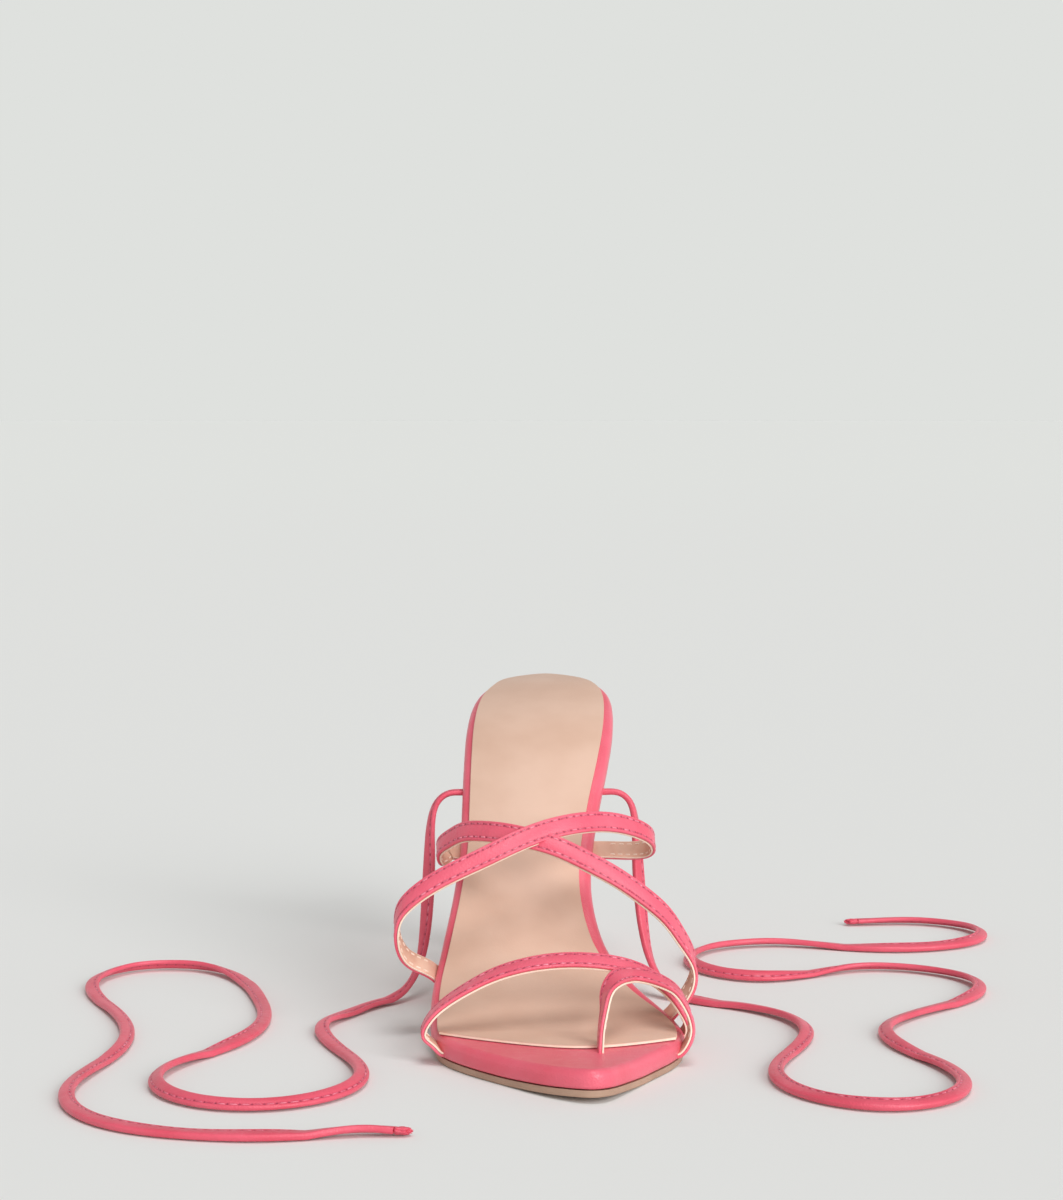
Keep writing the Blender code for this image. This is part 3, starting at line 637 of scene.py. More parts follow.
def crushed_end(name, place, way, side_way):
    """The lace's end, crushed and singed into a small hard knob with folds in it."""
    knob = start(name, bpy.ops.mesh.primitive_ico_sphere_add, subdivisions=5, radius=1.0)
    for point in knob.data.vertices:
        fold = noise.noise(point.co * FOLD_FINENESS + FOLD_START)
        crumb = noise.noise(point.co * CRUMB_FINENESS + CRUMB_START)
        ragged = max(0.0, point.co.x) * noise.noise(point.co * RAG_FINENESS)
        point.co *= 1.0 + FOLD_DEPTH * fold + CRUMB_DEPTH * crumb + RAG_DEPTH * ragged
        x = point.co.x * LACE_TIP_LENGTH * KNOB_LENGTH
        y = point.co.y * LACE_WIDTH * KNOB_WIDTH
        z = max(point.co.z * LACE_THICKNESS * KNOB_HEIGHT, -LACE_THICKNESS * KNOB_FLOOR)
        point.co = place + way * x + side_way * y + np.array([0.0, 0.0, z])
    smooth(knob, KNOB_ANGLE)
    return knob


laces = {}
for label, side, rows in (("lateral", -1, LATERAL_LACE), ("medial", 1, MEDIAL_LACE)):
    path, across, face = lace_route(side, rows)
    lace = make_lace("sewn_lace_" + label)
    stitches = stitch_row("lace_stitches_" + label, LACE_LENGTH - LACE_TIP_LENGTH - LACE_TUCK, LACE_PITCH,
                          LACE_SEAM, LACE_THICKNESS / 2.0 - LACE_THREAD_SINK, LACE_THREAD)
    for piece in (lace, stitches):
        keep_flat_place(piece)
        lay_along(piece, path, across, face)
    ending = unit(np.array([path[-1] - path[-3]]))[0]
    knob_place = path[-1] + ending * LACE_TIP_LENGTH * KNOB_PLACE
    knob = crushed_end("lace_end_" + label, knob_place, ending, across[-1])
    laces[label] = (lace, stitches, knob)
    print("Lace", label, "runs", round(len(path) * ROUTE_STEP / MM), "mm and touches down at",
          round(float(path[:, 2].min()) / MM, 2), "mm")

# %% [markdown]
# ## Outsole, board and sock
# These three are cut flat from sheet and moulded over the last. On the bench each is an
# outline with a thickness: a circle whose points are set on the outline, extruded down,
# rounded at its edges and sliced across, so that it can take the last's curve. The slices
# are what lets flat faces bend smoothly.

# %% Flat cut pieces
SLICE = 2.5 * MM


def cut_flat(name, outline, thickness, top):
    """A flat piece with this outline and thickness, its upper face at the height top."""
    piece = start(name, bpy.ops.mesh.primitive_circle_add, vertices=len(outline), radius=1.0,
                  fill_type="NGON")
    for point, place in zip(piece.data.vertices, outline):
        point.co = (place[0], place[1], top)
    open_edit(piece)
    bpy.ops.mesh.extrude_region_move(TRANSFORM_OT_translate={"value": (0, 0, -thickness)})
    bpy.ops.mesh.select_all(action="SELECT")
    bpy.ops.mesh.normals_make_consistent(inside=False)
    close_edit()
    return piece


def round_rim(piece, height, radius, rounds):
    """Round the rim that lies at this height."""
    open_edit(piece)
    pick(piece, "EDGE", lambda edge: all(abs(point.co.z - height) < CLOSE for point in edge.verts))
    bpy.ops.mesh.bevel(offset=radius, segments=rounds, affect="EDGES", clamp_overlap=False)
    close_edit()


def mould(piece, step=SLICE):
    """Slice a flat piece across and press it onto the last: its Z becomes height over the footbed."""
    places = [point.co.y for point in piece.data.vertices]
    low, high = min(places), max(places)
    open_edit(piece)
    slice_at(np.arange(low + step, high, step), (0, 1, 0))
    close_edit()
    keep_flat_place(piece)
    for point in piece.data.vertices:
        point.co = below_footbed(point.co.x, point.co.y, -point.co.z)
    piece.data.update()
    smooth(piece)


# %% Outsole
HEEL_BREAST = 0.783
OUTSOLE_INSET = 0.5 * MM
OUTSOLE_ROLL = 0.6 * MM

outsole = cut_flat("moulded_outsole", sole_outline(OUTSOLE_INSET), OUTSOLE_THICKNESS,
                   -BOARD_THICKNESS - FIT_GAP)
open_edit(outsole)
bpy.ops.mesh.bisect(plane_co=(0, along(HEEL_BREAST) - FIT_GAP, 0), plane_no=(0, 1, 0),
                    use_fill=True, clear_outer=True)
close_edit()
round_rim(outsole, -SOLE_STACK, OUTSOLE_ROLL, rounds=3)
mould(outsole)

# %% Board
TOP_ROLL = 2.8 * MM
LOW_ROLL = 1.2 * MM

board = cut_flat("wrapped_board", sole_outline(), BOARD_THICKNESS, 0.0)
round_rim(board, 0.0, TOP_ROLL, rounds=7)
round_rim(board, -BOARD_THICKNESS, LOW_ROLL, rounds=3)
mould(board)

# %% Sock
SOCK_INSET = 2.7 * MM
SOCK_BOW = 15 * MM
SOCK_ROUND = 6 * MM
SOCK_THICKNESS = 0.9 * MM
SOCK_ROLL = 0.25 * MM
SOCK_SLICE = 2 * MM
BOW_POINTS = 40
CORNER_MARGIN = 1 * MM
# Places of the lateral and the medial front corner along the sole
SOCK_CORNERS = (0.228, 0.184)
# Place along the sole, share of the sock's inset
SOCK_LATERAL = (
    (0.228, 0.35),
    (0.300, 1.00),
)
SOCK_MEDIAL = (
    (0.184, 0.30),
    (0.250, 1.20),
    (0.340, 1.50),
    (0.480, 1.62),
    (0.620, 1.50),
    (0.800, 1.30),
    (0.940, 1.00),
)


def sock_edge(y, side):
    """The sock's corners reach the straps, and its medial side is set in further than the lateral."""
    rows = SOCK_LATERAL if side < 0 else SOCK_MEDIAL
    share = smooth_curve([row[0] for row in rows], [row[1] for row in rows])
    return sole_edge(y, side, SOCK_INSET * share((y + TOE_TO_TREAD) / SOLE_LENGTH))[0]


def sock_outline():
    """Sides and heel follow the sole's edge, and the front is cut in a bow towards the toes."""
    lateral_y, medial_y = (along(place) for place in SOCK_CORNERS)
    ring = [tuple(p) for p in sole_outline(SOCK_INSET)]
    back = len(ring) // 2
    round_y = ring[back][1] - SOCK_ROUND
    lateral = [p if p[1] > round_y else (sock_edge(p[1], -1), p[1])
               for p in ring[1:back + 1] if p[1] > lateral_y + CORNER_MARGIN]
    medial = [p if p[1] > round_y else (sock_edge(p[1], 1), p[1])
              for p in ring[back + 1:] if p[1] > medial_y + CORNER_MARGIN]
    bow = []
    for share in np.linspace(1.0, 0.0, BOW_POINTS):
        y = lateral_y + (medial_y - lateral_y) * share - SOCK_BOW * (1.0 - (2.0 * share - 1.0) ** 2)
        lateral_x, medial_x = sock_edge(y, -1), sock_edge(y, 1)
        bow.append((lateral_x + (medial_x - lateral_x) * share, y))
    return lateral + medial + bow


sock = cut_flat("sock", sock_outline(), SOCK_THICKNESS, FIT_GAP + SOCK_THICKNESS)
round_rim(sock, FIT_GAP + SOCK_THICKNESS, SOCK_ROLL, rounds=2)
mould(sock, SOCK_SLICE)
for piece in (outsole, board, sock):
    print(piece.name, len(piece.data.vertices), "points")

# %% [markdown]
# ## The heel
# The heel is a hard moulded core with the upper's leather drawn over it. A maker carves it
# from its two ends: the seat's outline at the top and the small square tip. Here every
# section between them is a ring of points, and the rings are bridged into a skin.

# %% Heel
HEEL_INSET = 0.6 * MM
HEEL_TIP = 12 * MM
HEEL_TIP_PLACE = 0.900
TOP_PIECE_THICKNESS = 5 * MM
# Height from tip to seat, then how far the width, the breast and the back have grown
HEEL_CURVE = (
    (0.00, 0.00, 0.00, 0.00),
    (0.20, 0.06, 0.01, 0.02),
    (0.40, 0.16, 0.04, 0.08),
    (0.58, 0.30, 0.10, 0.20),
    (0.74, 0.48, 0.22, 0.40),
    (0.87, 0.72, 0.46, 0.66),
    (0.95, 0.89, 0.74, 0.87),
    (1.00, 1.00, 1.00, 1.00),
)
HEEL_SECTIONS = 34
BREAST_POINTS = 12
SQUARENESS = 5.0


def rounded_square(direction):
    """The point of a unit square with round corners that lies in this direction."""
    size = abs(direction.x) ** SQUARENESS + abs(direction.y) ** SQUARENESS
    return direction * size ** (-1.0 / SQUARENESS)


def seat_ring():
    """The heel's top ring: round the seat, then straight across the breast."""
    breast = along(HEEL_BREAST)
    curve = sole_outline(HEEL_INSET)
    back = len(curve) // 2
    lateral = [tuple(p) for p in curve[1:back + 1] if p[1] > breast + CORNER_MARGIN]
    medial = [tuple(p) for p in curve[back + 1:] if p[1] > breast + CORNER_MARGIN]
    start_x, end_x = (sole_edge(breast, side, HEEL_INSET)[0] for side in (-1, 1))
    across = [(end_x + (start_x - end_x) * k / BREAST_POINTS, breast) for k in range(1, BREAST_POINTS)]
    ring = [(start_x, breast)] + lateral + medial + [(end_x, breast)] + across
    return [below_footbed(x, y, BOARD_THICKNESS + FIT_GAP) for x, y in ring]


def heel_rings():
    """The heel's sections from the tip up to the seat, each one a ring of points."""
    top = seat_ring()
    low = Vector((min(p.x for p in top), min(p.y for p in top)))
    high = Vector((max(p.x for p in top), max(p.y for p in top)))
    middle, half = (low + high) / 2.0, (high - low) / 2.0
    tip_y = along(HEEL_TIP_PLACE)
    tip_z = TOP_PIECE_THICKNESS + FIT_GAP
    seat = [Vector(((p.x - middle.x) / half.x, (p.y - middle.y) / half.y)) for p in top]
    square = [rounded_square(p.normalized()) for p in seat]
    heights = [row[0] for row in HEEL_CURVE]
    width_at, breast_at, back_at = (smooth_curve(heights, [row[k] for row in HEEL_CURVE]) for k in (1, 2, 3))
    rings = []
    for step in range(HEEL_SECTIONS + 1):
        up = step / HEEL_SECTIONS
        blend = width_at(up)
        width = HEEL_TIP / 2.0 + (half.x - HEEL_TIP / 2.0) * blend
        front = tip_y - HEEL_TIP / 2.0
        front += (low.y - front) * breast_at(up)
        back = tip_y + HEEL_TIP / 2.0
        back += (high.y - back) * back_at(up)
        ring = []
        for corner, edge, seat_point in zip(square, seat, top):
            place = corner.lerp(edge, blend)
            ring.append((middle.x * blend + place.x * width,
                         (front + back) / 2.0 + place.y * (back - front) / 2.0,
                         tip_z + (seat_point.z - tip_z) * up))
        rings.append(ring)
    return rings


ribs = []
for number, ring in enumerate(heel_rings()):
    rib = start("heel_section_%d" % number, bpy.ops.mesh.primitive_circle_add, vertices=len(ring), radius=1.0)
    for point, place in zip(rib.data.vertices, ring):
        point.co = place
    ribs.append(rib)
heel = join("covered_heel", ribs)
open_edit(heel)
bpy.ops.mesh.bridge_edge_loops(type="SINGLE")
bpy.ops.mesh.select_all(action="DESELECT")
bpy.ops.mesh.select_non_manifold(extend=False, use_wire=False, use_boundary=True,
                                 use_multi_face=False, use_non_contiguous=False, use_verts=False)
bpy.ops.mesh.fill_holes(sides=0)
bpy.ops.mesh.select_all(action="SELECT")
bpy.ops.mesh.normals_make_consistent(inside=False)
close_edit()
smooth(heel, HEEL_ANGLE)
print("Heel:", len(heel.data.polygons), "faces")

# %% Top piece
TOP_PIECE_SIDES = 48
TOP_PIECE_ROLL = 0.5 * MM
turns = [2.0 * math.pi * k / TOP_PIECE_SIDES for k in range(TOP_PIECE_SIDES)]
square = [rounded_square(Vector((math.cos(turn), math.sin(turn)))) * HEEL_TIP / 2.0 for turn in turns]
top_piece = cut_flat("top_piece", [(p.x, p.y + along(HEEL_TIP_PLACE)) for p in square],
                     TOP_PIECE_THICKNESS, TOP_PIECE_THICKNESS)
round_rim(top_piece, 0.0, TOP_PIECE_ROLL, rounds=3)
smooth(top_piece, HEEL_ANGLE)

# %% [markdown]
# ## The straps
# The upper is four narrow straps: one over the toes with a loop for the big toe, and two
# that cross over the instep. Each strap is leather folded over a thin lining and stitched
# along both edges. Its ends are let in between the board and the outsole. Routes are
# tables of shares again: place along, place across, height as a share of the strap's.

# %% Strap routes
STRAP_WIDTH = 7.2 * MM
STRAP_THICKNESS = 1.7 * MM
TOE_HEIGHT = 23.3 * MM
INSTEP_HEIGHT = 40 * MM
LET_IN = 7 * MM
# Points of a let in end and of the loop's post, from inside out, in shares of their lengths
LET_IN_SHARES = (1.0, 0.7, 0.4, 0.18)
POST_SHARES = (1.0, 0.5, 0.0)
# Where a strap has turned up: its depth in the board's thickness, or its distance from the edge
HUG_DEPTH = 0.42
STAND_OFF = 3.0
TOP_TILT = math.radians(18.0)

# Place along the sole, place across it, height
TOE_STRAP = (
    (0.217, -0.533, 0.03),
    (0.217, -0.511, 0.26),
    (0.221, -0.463, 0.43),
    (0.225, -0.357, 0.67),
    (0.229, -0.275, 0.81),
    (0.233, -0.112, 0.97),
    (0.238, 0.000, 1.00),
    (0.242, 0.150, 0.97),
    (0.250, 0.286, 0.84),
    (0.258, 0.367, 0.67),
    (0.262, 0.431, 0.46),
    (0.262, 0.482, 0.20),
)
TOE_LOOP = (
    (0.135, 0.139, 0.06),
    (0.144, 0.145, 0.28),
    (0.156, 0.158, 0.50),
    (0.181, 0.180, 0.71),
    (0.208, 0.223, 0.825),
    (0.230, 0.278, 0.825),
    (0.234, 0.341, 0.78),
    (0.228, 0.400, 0.715),
    (0.220, 0.447, 0.62),
    (0.213, 0.479, 0.47),
    (0.208, 0.502, 0.28),
    (0.203, 0.507, 0.10),
)
OVER_STRAP = (
    (0.371, -0.600, 0.12),
    (0.363, -0.640, 0.36),
    (0.359, -0.624, 0.57),
    (0.359, -0.563, 0.71),
    (0.363, -0.451, 0.84),
    (0.375, -0.282, 0.95),
    (0.393, -0.120, 1.01),
    (0.417, 0.033, 0.97),
    (0.450, 0.192, 0.81),
    (0.488, 0.341, 0.53),
    (0.522, 0.436, 0.20),
    (0.542, 0.432, 0.01),
)
UNDER_STRAP = (
    (0.545, -0.458, -0.07),
    (0.532, -0.466, 0.06),
    (0.508, -0.428, 0.30),
    (0.479, -0.366, 0.55),
    (0.450, -0.290, 0.735),
    (0.425, -0.208, 0.868),
    (0.402, -0.081, 0.945),
    (0.390, 0.024, 0.94),
    (0.379, 0.130, 0.89),
    (0.367, 0.247, 0.813),
    (0.354, 0.357, 0.71),
    (0.342, 0.442, 0.603),
    (0.331, 0.500, 0.475),
    (0.317, 0.548, 0.29),
    (0.309, 0.538, 0.16),
    (0.304, 0.498, 0.04),
)
# Where each end goes in: place along the sole, then -1 for lateral or 1 for medial
TOE_STRAP_ENDS = ((0.217, -1), (0.258, 1))
TOE_LOOP_END = (0.196, 1)
OVER_STRAP_ENDS = ((0.379, -1), (0.553, 1))
UNDER_STRAP_ENDS = ((0.553, -1), (0.300, 1))
# The loop's cut through the board: place along the sole, place across it
POST_PLACE = (0.133, 0.138)


def let_in_end(place, side, hugs_edge):
    """The end of a strap, from under the footbed board straight out past its edge."""
    y = along(place)
    x, out = sole_edge(y, side)
    depth = BOARD_THICKNESS - STRAP_THICKNESS / 2.0 - FIT_GAP
    points = [below_footbed(x - side * share * LET_IN, y, depth) for share in LET_IN_SHARES]
    beside = (STRAP_THICKNESS / 2.0 + 2.0 * FIT_GAP) / abs(out.x)
    if hugs_edge:
        points.append(below_footbed(x + side * beside, y, HUG_DEPTH * BOARD_THICKNESS))
    else:
        points.append(below_footbed(x + side * STAND_OFF * beside, y, depth))
    return points


def free_points(rows, height):
    return [Vector((across * BALL_WIDTH, along(place), footbed_height(along(place)) + up * height))
            for place, across, up in rows]


def toe_post():
    """The loop starts between the toes, in a cut through the board."""
    deep = BOARD_THICKNESS - FIT_GAP
    return [below_footbed(POST_PLACE[1] * BALL_WIDTH, along(POST_PLACE[0]), deep * share)
            for share in POST_SHARES]


def strap_route(points, height):
    """The face holds the strap's own run and the foot's run, which leans up over the instep."""
    path = smooth_route(points)
    way = unit(np.gradient(path, axis=0))
    across = []
    for point, run in zip(path, way):
        share = min(max((point[2] - footbed_height(point[1])) / height, 0.0), 1.0)
        tilt = footbed_slope(point[1]) + TOP_TILT * share
        foot = np.array([0.0, math.cos(tilt), math.sin(tilt)])
        across.append(foot - run * foot.dot(run))
    across = unit(np.array(across))
    return path, across, np.cross(way, across)


# %% Straps
STRAP_SEAM = 2.35 * MM
STRAP_PITCH = 2.9 * MM
HIDDEN_STITCHES = 4
LINING_TOP = -0.25 * MM
LINING_PROUD = 0.12 * MM
LEATHER_TOP = STRAP_THICKNESS / 2.0
LEATHER_MIDDLE = 0.30 * MM
LEATHER_LOW = -0.20 * MM
STRAP_ROUNDING = 0.42 * MM
STRAP_SEAM_REACH = 0.5 * MM
STRAP_SEAM_DEPTH = 0.16 * MM
STITCH_SINK = 0.14 * MM
LINING_ROUNDING = 0.12 * MM
LINING_STITCH_LIFT = 0.02 * MM


def make_strap(name, points, height):
    """Leather, lining and stitches of one strap, made flat and laid along its route."""
    path, across, out = strap_route(points, height)
    length = (len(path) - 1) * ROUTE_STEP
    seams = (-STRAP_SEAM, STRAP_SEAM)
    leather = flat_strip(name, length, STRAP_WIDTH, LEATHER_LOW, LEATHER_TOP, STRAP_ROUNDING)
    for seam in seams:
        press_seam(leather, seam, STRAP_SEAM_REACH, STRAP_SEAM_DEPTH, LEATHER_MIDDLE)
    smooth(leather, STRIP_ANGLE)
    lining = flat_strip(name + "_lining", length, STRAP_WIDTH + 2.0 * LINING_PROUD,
                        -LEATHER_TOP, LINING_TOP, LINING_ROUNDING, rounds=2)
    smooth(lining, STRIP_ANGLE)
    rows = [stitch_row(name + "_stitches", length, STRAP_PITCH, seam, LEATHER_TOP - STITCH_SINK)
            for seam in seams]
    back_rows = [stitch_row(name + "_lining_stitches", length, STRAP_PITCH, seam,
                            -LEATHER_TOP - LINING_STITCH_LIFT, facing=-1, skip=HIDDEN_STITCHES)
                 for seam in seams]
    parts = {
        "leather": leather,
        "lining": lining,
        "stitches": join(name + "_stitches", rows),
        "lining_stitches": join(name + "_lining_stitches", back_rows),
    }
    for piece in parts.values():
        keep_flat_place(piece)
        lay_along(piece, path, across, out)
    print(name, round(length / MM), "mm long")
    return parts


STRAP_CUTS = {
    "toe_strap": (let_in_end(*TOE_STRAP_ENDS[0], True), TOE_STRAP,
                  let_in_end(*TOE_STRAP_ENDS[1], True), TOE_HEIGHT),
    "toe_loop": (toe_post(), TOE_LOOP, let_in_end(*TOE_LOOP_END, True), TOE_HEIGHT),
    "over_strap": (let_in_end(*OVER_STRAP_ENDS[0], True), OVER_STRAP,
                   let_in_end(*OVER_STRAP_ENDS[1], False), INSTEP_HEIGHT),
    "under_strap": (let_in_end(*UNDER_STRAP_ENDS[0], False), UNDER_STRAP,
                    let_in_end(*UNDER_STRAP_ENDS[1], True), INSTEP_HEIGHT),
}
straps = {}
for name, (first_end, rows, last_end, height) in STRAP_CUTS.items():
    straps[name] = make_strap(name, first_end + free_points(rows, height) + last_end[::-1], height)

# %% [markdown]
# ## Finishes
# Colours are chosen as screen colours and turned to linear light once. One helper adds a
# node with its settings and its links. Every pattern is sized from a real length. Math, Mix
# and Map Range go by socket numbers: on Map Range, 1 and 2 are the span that comes in and 3
# and 4 the span that goes out, and on Mix, 6 and 7 are the two colours.

# %% Colour and node helpers
MATH = "ShaderNodeMath"
NOISE = "ShaderNodeTexNoise"
MIX = "ShaderNodeMix"
RANGE = "ShaderNodeMapRange"
MIXED_COLOUR = 2


def linear(code):
    """A screen colour such as F0647F as linear red, green, blue and alpha."""
    parts = [int(code[k:k + 2], 16) / 255.0 for k in (0, 2, 4)]
    return (*[p / 12.92 if p <= 0.04045 else ((p + 0.055) / 1.055) ** 2.4 for p in parts], 1.0)


def node(tree, kind, inputs=None, output=0, **settings):
    """Add one node, set or link what it is given, and hand back one of its outputs."""
    made = tree.nodes.new(kind)
    for name, value in settings.items():
        setattr(made, name, value)
    for name, value in (inputs or {}).items():
        if isinstance(value, bpy.types.NodeSocket):
            tree.links.new(value, made.inputs[name])
        else:
            made.inputs[name].default_value = value
    return made.outputs[output]


def new_finish(name, **sockets):
    """A material with a Principled shader, its fixed values set on the shader itself."""
    look = bpy.data.materials.new(name)
    look.use_nodes = True
    shader = look.node_tree.nodes["Principled BSDF"]
    for socket, value in sockets.items():
        shader.inputs[socket.replace("_", " ")].default_value = value
    return look, look.node_tree, shader


# %% [markdown]
# ### Leather
# Smooth leather with a pigment finish: even colour, fine pores and a satin gloss that
# breaks up in soft wrinkles. Real pores are about 0.2 mm apart and too fine for this
# picture, so they are drawn at about 0.6 mm. Along a seam the leather is pulled down, and
# the shade in that hollow is painted into the colour as a darker line. Each stitch ends in
# a small hole, dented in the bump and darkened with painted shade.

# %% Leather
PORE = 0.6 * MM
PORE_DEPTH = 0.10 * MM
WRINKLE = 5 * MM
PATCH = 18 * MM
PATCH_SPAN = {1: 0.35, 2: 0.65}
SHEEN_PATCH = 2.5 * MM
GLOSS_SPAN = {1: 0.3, 2: 0.7}
SHEEN_DOWN = 0.05
SHEEN_UP = 0.06
# Painted shade: the colour is darkened along each seam, where its pressed hollow lies in shade
SEAM_PAINTED_SHADE = "B93A58"
SEAM_STRENGTH = 0.38
SEAM_DEEPEST = 0.1 * MM
SEAM_REACH = 0.7 * MM
# Painted shade: the colour is darkened in each stitch hole
HOLE_PAINTED_SHADE = "962C48"
HOLE_STRENGTH = 0.8
HOLE_RADIUS = 0.15 * MM
HOLE_REACH = 0.50 * MM
HOLE_DEPTH = 0.15 * MM
FAR_FROM_SEAMS = 1.0


def leather_finish(name, deep, light, roughness, seams=(), pitch=0.0, wrinkle=0.22 * MM):
    """Pigmented leather, with painted shade along the pressed line of each seam and in its pierced holes,
    which are also dented.
    """
    look, tree, shader = new_finish(name, IOR=1.46, Coat_Weight=0.18, Coat_Roughness=0.30)
    place = node(tree, "ShaderNodeTexCoord", output="Object")
    patches = node(tree, NOISE, {"Vector": place, "Scale": 1.0 / PATCH, "Detail": 3.0})
    patches = node(tree, RANGE, {0: patches, **PATCH_SPAN})
    colour = node(tree, MIX, {0: patches, 6: linear(deep), 7: linear(light)}, MIXED_COLOUR, data_type="RGBA")
    pores = node(tree, "ShaderNodeTexVoronoi", {"Vector": place, "Scale": 1.0 / PORE}, "Distance")
    pores = node(tree, MATH, {0: pores, 1: PORE_DEPTH}, operation="MULTIPLY")
    folds = node(tree, NOISE, {"Vector": place, "Scale": 1.0 / WRINKLE, "Detail": 4.0, "Roughness": 0.5})
    folds = node(tree, MATH, {0: folds, 1: wrinkle}, operation="MULTIPLY")
    height = node(tree, MATH, {0: pores, 1: folds}, operation="ADD")
    if seams:
        flat = node(tree, "ShaderNodeAttribute", output="Vector", attribute_name="flat")
        run = node(tree, "ShaderNodeSeparateXYZ", {0: flat}, "X")
        across = node(tree, "ShaderNodeSeparateXYZ", {0: flat}, "Y")
        off_seam = FAR_FROM_SEAMS
        for seam in seams:
            distance = node(tree, MATH, {0: across, 1: seam}, operation="SUBTRACT")
            distance = node(tree, MATH, {0: distance}, operation="ABSOLUTE")
            off_seam = node(tree, MATH, {0: off_seam, 1: distance}, operation="MINIMUM")
        # Painted shade along each seam's hollow
        painted_seam_shade = node(tree, RANGE, {0: off_seam, 1: SEAM_DEEPEST, 2: SEAM_REACH, 3: SEAM_STRENGTH, 4: 0.0})
        colour = node(tree, MIX, {0: painted_seam_shade, 6: colour, 7: linear(SEAM_PAINTED_SHADE)}, MIXED_COLOUR,
                      data_type="RGBA")
        step = node(tree, MATH, {0: run, 1: pitch}, operation="FLOORED_MODULO")
        step = node(tree, MATH, {0: step, 1: pitch / 2.0}, operation="SUBTRACT")
        step = node(tree, MATH, {0: step}, operation="ABSOLUTE")
        along_hole = node(tree, MATH, {0: pitch / 2.0, 1: step}, operation="SUBTRACT")
        along_hole = node(tree, MATH, {0: along_hole, 1: 2.0}, operation="POWER")
        across_hole = node(tree, MATH, {0: off_seam, 1: 2.0}, operation="POWER")
        spot = node(tree, MATH, {0: along_hole, 1: across_hole}, operation="ADD")
        spot = node(tree, MATH, {0: spot}, operation="SQRT")
        hole = node(tree, RANGE, {0: spot, 1: HOLE_RADIUS, 2: HOLE_REACH, 3: 1.0, 4: 0.0})
        # Painted shade in each stitch hole; the dent below is bump relief
        shade = node(tree, MATH, {0: hole, 1: HOLE_STRENGTH}, operation="MULTIPLY")
        colour = node(tree, MIX, {0: shade, 6: colour, 7: linear(HOLE_PAINTED_SHADE)}, MIXED_COLOUR, data_type="RGBA")
        dent = node(tree, MATH, {0: hole, 1: HOLE_DEPTH}, operation="MULTIPLY")
        height = node(tree, MATH, {0: height, 1: dent}, operation="SUBTRACT")
    tree.links.new(colour, shader.inputs["Base Color"])
    sheen = node(tree, NOISE, {"Vector": place, "Scale": 1.0 / SHEEN_PATCH, "Detail": 3.0})
    sheen = node(tree, RANGE, {0: sheen, **GLOSS_SPAN, 3: roughness - SHEEN_DOWN, 4: roughness + SHEEN_UP})
    tree.links.new(sheen, shader.inputs["Roughness"])
    bump = node(tree, "ShaderNodeBump", {"Height": height, "Strength": 1.0, "Distance": 1.0}, "Normal")
    tree.links.new(bump, shader.inputs["Normal"])
    return look


strap_leather = leather_finish("pigmented_strap_leather", "E95B73", "EF6A80", 0.38,
                               (-STRAP_SEAM, STRAP_SEAM), STRAP_PITCH)
board_leather = leather_finish("drawn_board_leather", "E65D70", "EC6A7E", 0.36, wrinkle=0.16 * MM)
lace_leather = leather_finish("folded_lace_leather", "DE4F65", "E75D73", 0.42, (LACE_SEAM,), LACE_PITCH,
                              0.30 * MM)


# %% [markdown]
# ### Lining, sock, outsole, top piece and thread
# The lining is thin split leather: matt and pinkish beige on its face, and pale where it
# was cut. The sock is the same leather with a smoother face. The outsole is a moulded
# sheet in taupe with a fine grain, and the top piece is hard tan rubber. The thread is
# waxed, so it is a little glossier than the leather it lies in.

# %% Other finishes
CUT_BLEND = 0.12 * MM
GLOSS_SWING = 0.05


def plain_finish(name, deep, light, roughness, patch, grain, relief, cut=None, edge=None, **sockets):
    """A matt finish with soft patches and a fine grain, and a paler colour where it was cut."""
    look, tree, shader = new_finish(name, **sockets)
    place = node(tree, "ShaderNodeTexCoord", output="Object")
    patches = node(tree, NOISE, {"Vector": place, "Scale": 1.0 / patch, "Detail": 3.0})
    patches = node(tree, RANGE, {0: patches, **PATCH_SPAN})
    colour = node(tree, MIX, {0: patches, 6: linear(deep), 7: linear(light)}, MIXED_COLOUR, data_type="RGBA")
    if cut:
        flat = node(tree, "ShaderNodeAttribute", output="Vector", attribute_name="flat")
        across = node(tree, "ShaderNodeSeparateXYZ", {0: flat}, "Y")
        across = node(tree, MATH, {0: across}, operation="ABSOLUTE")
        rim = node(tree, RANGE, {0: across, 1: edge - CUT_BLEND, 2: edge})
        colour = node(tree, MIX, {0: rim, 6: colour, 7: linear(cut)}, MIXED_COLOUR, data_type="RGBA")
    tree.links.new(colour, shader.inputs["Base Color"])
    fine = node(tree, NOISE, {"Vector": place, "Scale": 1.0 / grain, "Detail": 2.0})
    gloss = node(tree, RANGE, {0: fine, **GLOSS_SPAN, 3: roughness - GLOSS_SWING, 4: roughness + GLOSS_SWING})
    tree.links.new(gloss, shader.inputs["Roughness"])
    height = node(tree, MATH, {0: fine, 1: relief}, operation="MULTIPLY")
    bump = node(tree, "ShaderNodeBump", {"Height": height, "Strength": 1.0, "Distance": 1.0}, "Normal")
    tree.links.new(bump, shader.inputs["Normal"])
    return look


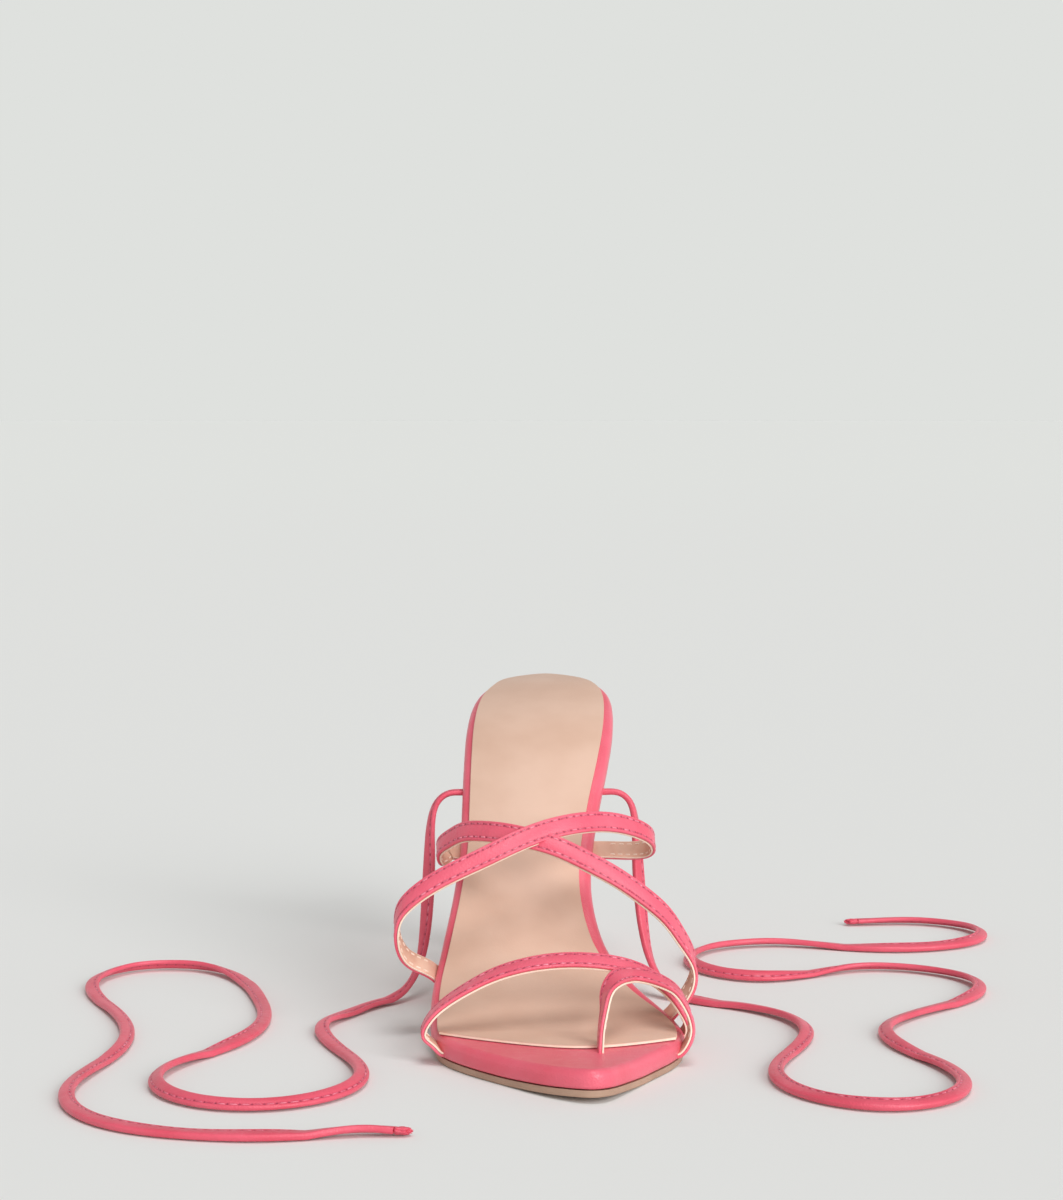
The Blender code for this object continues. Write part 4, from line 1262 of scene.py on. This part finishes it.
lining_leather = plain_finish("split_lining_leather", "D7A690", "E2B9A3", 0.72, 6 * MM, 0.6 * MM, 0.05 * MM,
                              "F7E2CF", STRAP_WIDTH / 2.0, IOR=1.45)
sock_leather = plain_finish("smooth_sock_leather", "D5B09B", "DDBAA6", 0.46, 24 * MM, 0.8 * MM, 0.03 * MM,
                            IOR=1.46)
cut_edge = plain_finish("raw_cut_edge", "F6DFC8", "FBE8D6", 0.75, 3 * MM, 0.4 * MM, 0.05 * MM, IOR=1.45)
outsole_sheet = plain_finish("moulded_outsole_sheet", "AC8A76", "BA9882", 0.55, 9 * MM, 0.6 * MM, 0.04 * MM,
                             IOR=1.5)
tan_rubber = plain_finish("hard_tan_rubber", "9A7862", "A5836D", 0.6, 4 * MM, 0.5 * MM, 0.04 * MM, IOR=1.5)
# Painted shade and painted highlights: the deep tone is darker than the leather for the shade in the seam,
# and the pale patches are painted glints on the thread
pink_thread_with_painted_shade_and_glints = plain_finish("waxed_pink_thread", "C03A58", "EE8CA0", 0.28, 3 * MM, 0.3 * MM, 0.03 * MM,
                           IOR=1.5)
pale_thread = plain_finish("waxed_pale_thread", "EFD3C0", "F7E2D3", 0.45, 2 * MM, 0.3 * MM, 0.03 * MM,
                           IOR=1.5)

# %% Finish and place every piece
settle(outsole, "outsole", outsole_sheet, "outsole")
settle(board, "footbed_wrap", board_leather, "footbed_board")
settle(sock, "insole", sock_leather, "insole")
settle(heel, "heel_wrap", board_leather, "heel")
settle(top_piece, "top_piece", tan_rubber, "heel_top_piece")
for label, (lace, stitches, knob) in laces.items():
    settle(lace, "laces", lace_leather, "lace_" + label)
    settle(stitches, "laces", pink_thread_with_painted_shade_and_glints)
    settle(knob, "laces", lace_leather, "lace_%s_tip" % label)
for name, parts in straps.items():
    node_name = "toe_straps" if name.startswith("toe") else "instep_straps"
    settle(parts["leather"], "straps", strap_leather, node_name)
    settle(parts["lining"], "straps", lining_leather)
    settle(parts["stitches"], "straps", pink_thread_with_painted_shade_and_glints)
    settle(parts["lining_stitches"], "straps", pale_thread)

# %% Cut edge of the sock
# A face that spans more than this share of the thickness belongs to the cut edge
CUT_SHARE = 0.2

sock.data.materials.append(cut_edge)
flat = sock.data.attributes["flat"].data
front_y = along(max(SOCK_CORNERS)) + CORNER_MARGIN
for face in sock.data.polygons:
    places = [flat[point].vector for point in face.vertices]
    heights = [place.z for place in places]
    upright = max(heights) - min(heights) > SOCK_THICKNESS * CUT_SHARE
    if upright and max(place.y for place in places) < front_y:
        face.material_index = 1

# %% [markdown]
# ## Floor and light
# The sandal stands on pale seamless paper, and the room behind it is as pale, so no horizon
# shows. The walls are brighter than the ceiling, so upright faces get more light than level
# ones. A low, wide window at the front right adds to that, and a lamp above gives the
# straps their soft shadows on the sock.

# %% Studio
PAPER_SIZE = 400.0
PAPER_DROP = 0.1 * MM
PAPER_NEAR = "E9E9E8"
PAPER_FAR = "EAEBE9"
PAPER_FADE = {1: 0.3, 2: 8.0}
ROOM_LOOK = "DFE1DE"
CEILING_LIGHT = 0.36
WALL_SPAN = {1: 0.25, 2: 0.65}
# Name, bearing and height in degrees, strength, width in degrees
WINDOWS = (
    ("front_window", 34.0, 24.0, 1.90, 34.0),
    ("ceiling_light", 20.0, 72.0, 0.95, 26.0),
)

paper = start("seamless_paper", bpy.ops.mesh.primitive_plane_add, size=PAPER_SIZE,
              location=(0, 0, -PAPER_DROP))
paper_look, tree, shader = new_finish("matt_pale_paper", Roughness=1.0, Specular_IOR_Level=0.0)
place = node(tree, "ShaderNodeTexCoord", output="Object")
distance = node(tree, "ShaderNodeVectorMath", {0: place}, "Value", operation="LENGTH")
distance = node(tree, RANGE, {0: distance, **PAPER_FADE})
colour = node(tree, MIX, {0: distance, 6: linear(PAPER_NEAR), 7: linear(PAPER_FAR)}, MIXED_COLOUR,
              data_type="RGBA")
tree.links.new(colour, shader.inputs["Base Color"])
paper.data.materials.append(paper_look)

bpy.context.scene.view_settings.view_transform = "Standard"
world = bpy.data.worlds.new("soft_room")
bpy.context.scene.world = world
world.use_nodes = True
world.node_tree.nodes["Background"].inputs["Color"].default_value = linear(ROOM_LOOK)
upwards = node(world.node_tree, "ShaderNodeTexCoord", output="Generated")
upwards = node(world.node_tree, "ShaderNodeSeparateXYZ", {0: upwards}, "Z")
strength = node(world.node_tree, RANGE, {0: upwards, **WALL_SPAN, 3: 1.0, 4: CEILING_LIGHT})
world.node_tree.links.new(strength, world.node_tree.nodes["Background"].inputs["Strength"])

for name, bearing, height, power, softness in WINDOWS:
    bpy.ops.object.light_add(type="SUN", location=(0.0, 0.0, 1.0))
    light = bpy.context.object
    light.name = name
    light.data.energy = power
    light.data.angle = math.radians(softness)
    light.rotation_euler = (math.radians(90.0 - height), 0.0, math.radians(bearing))
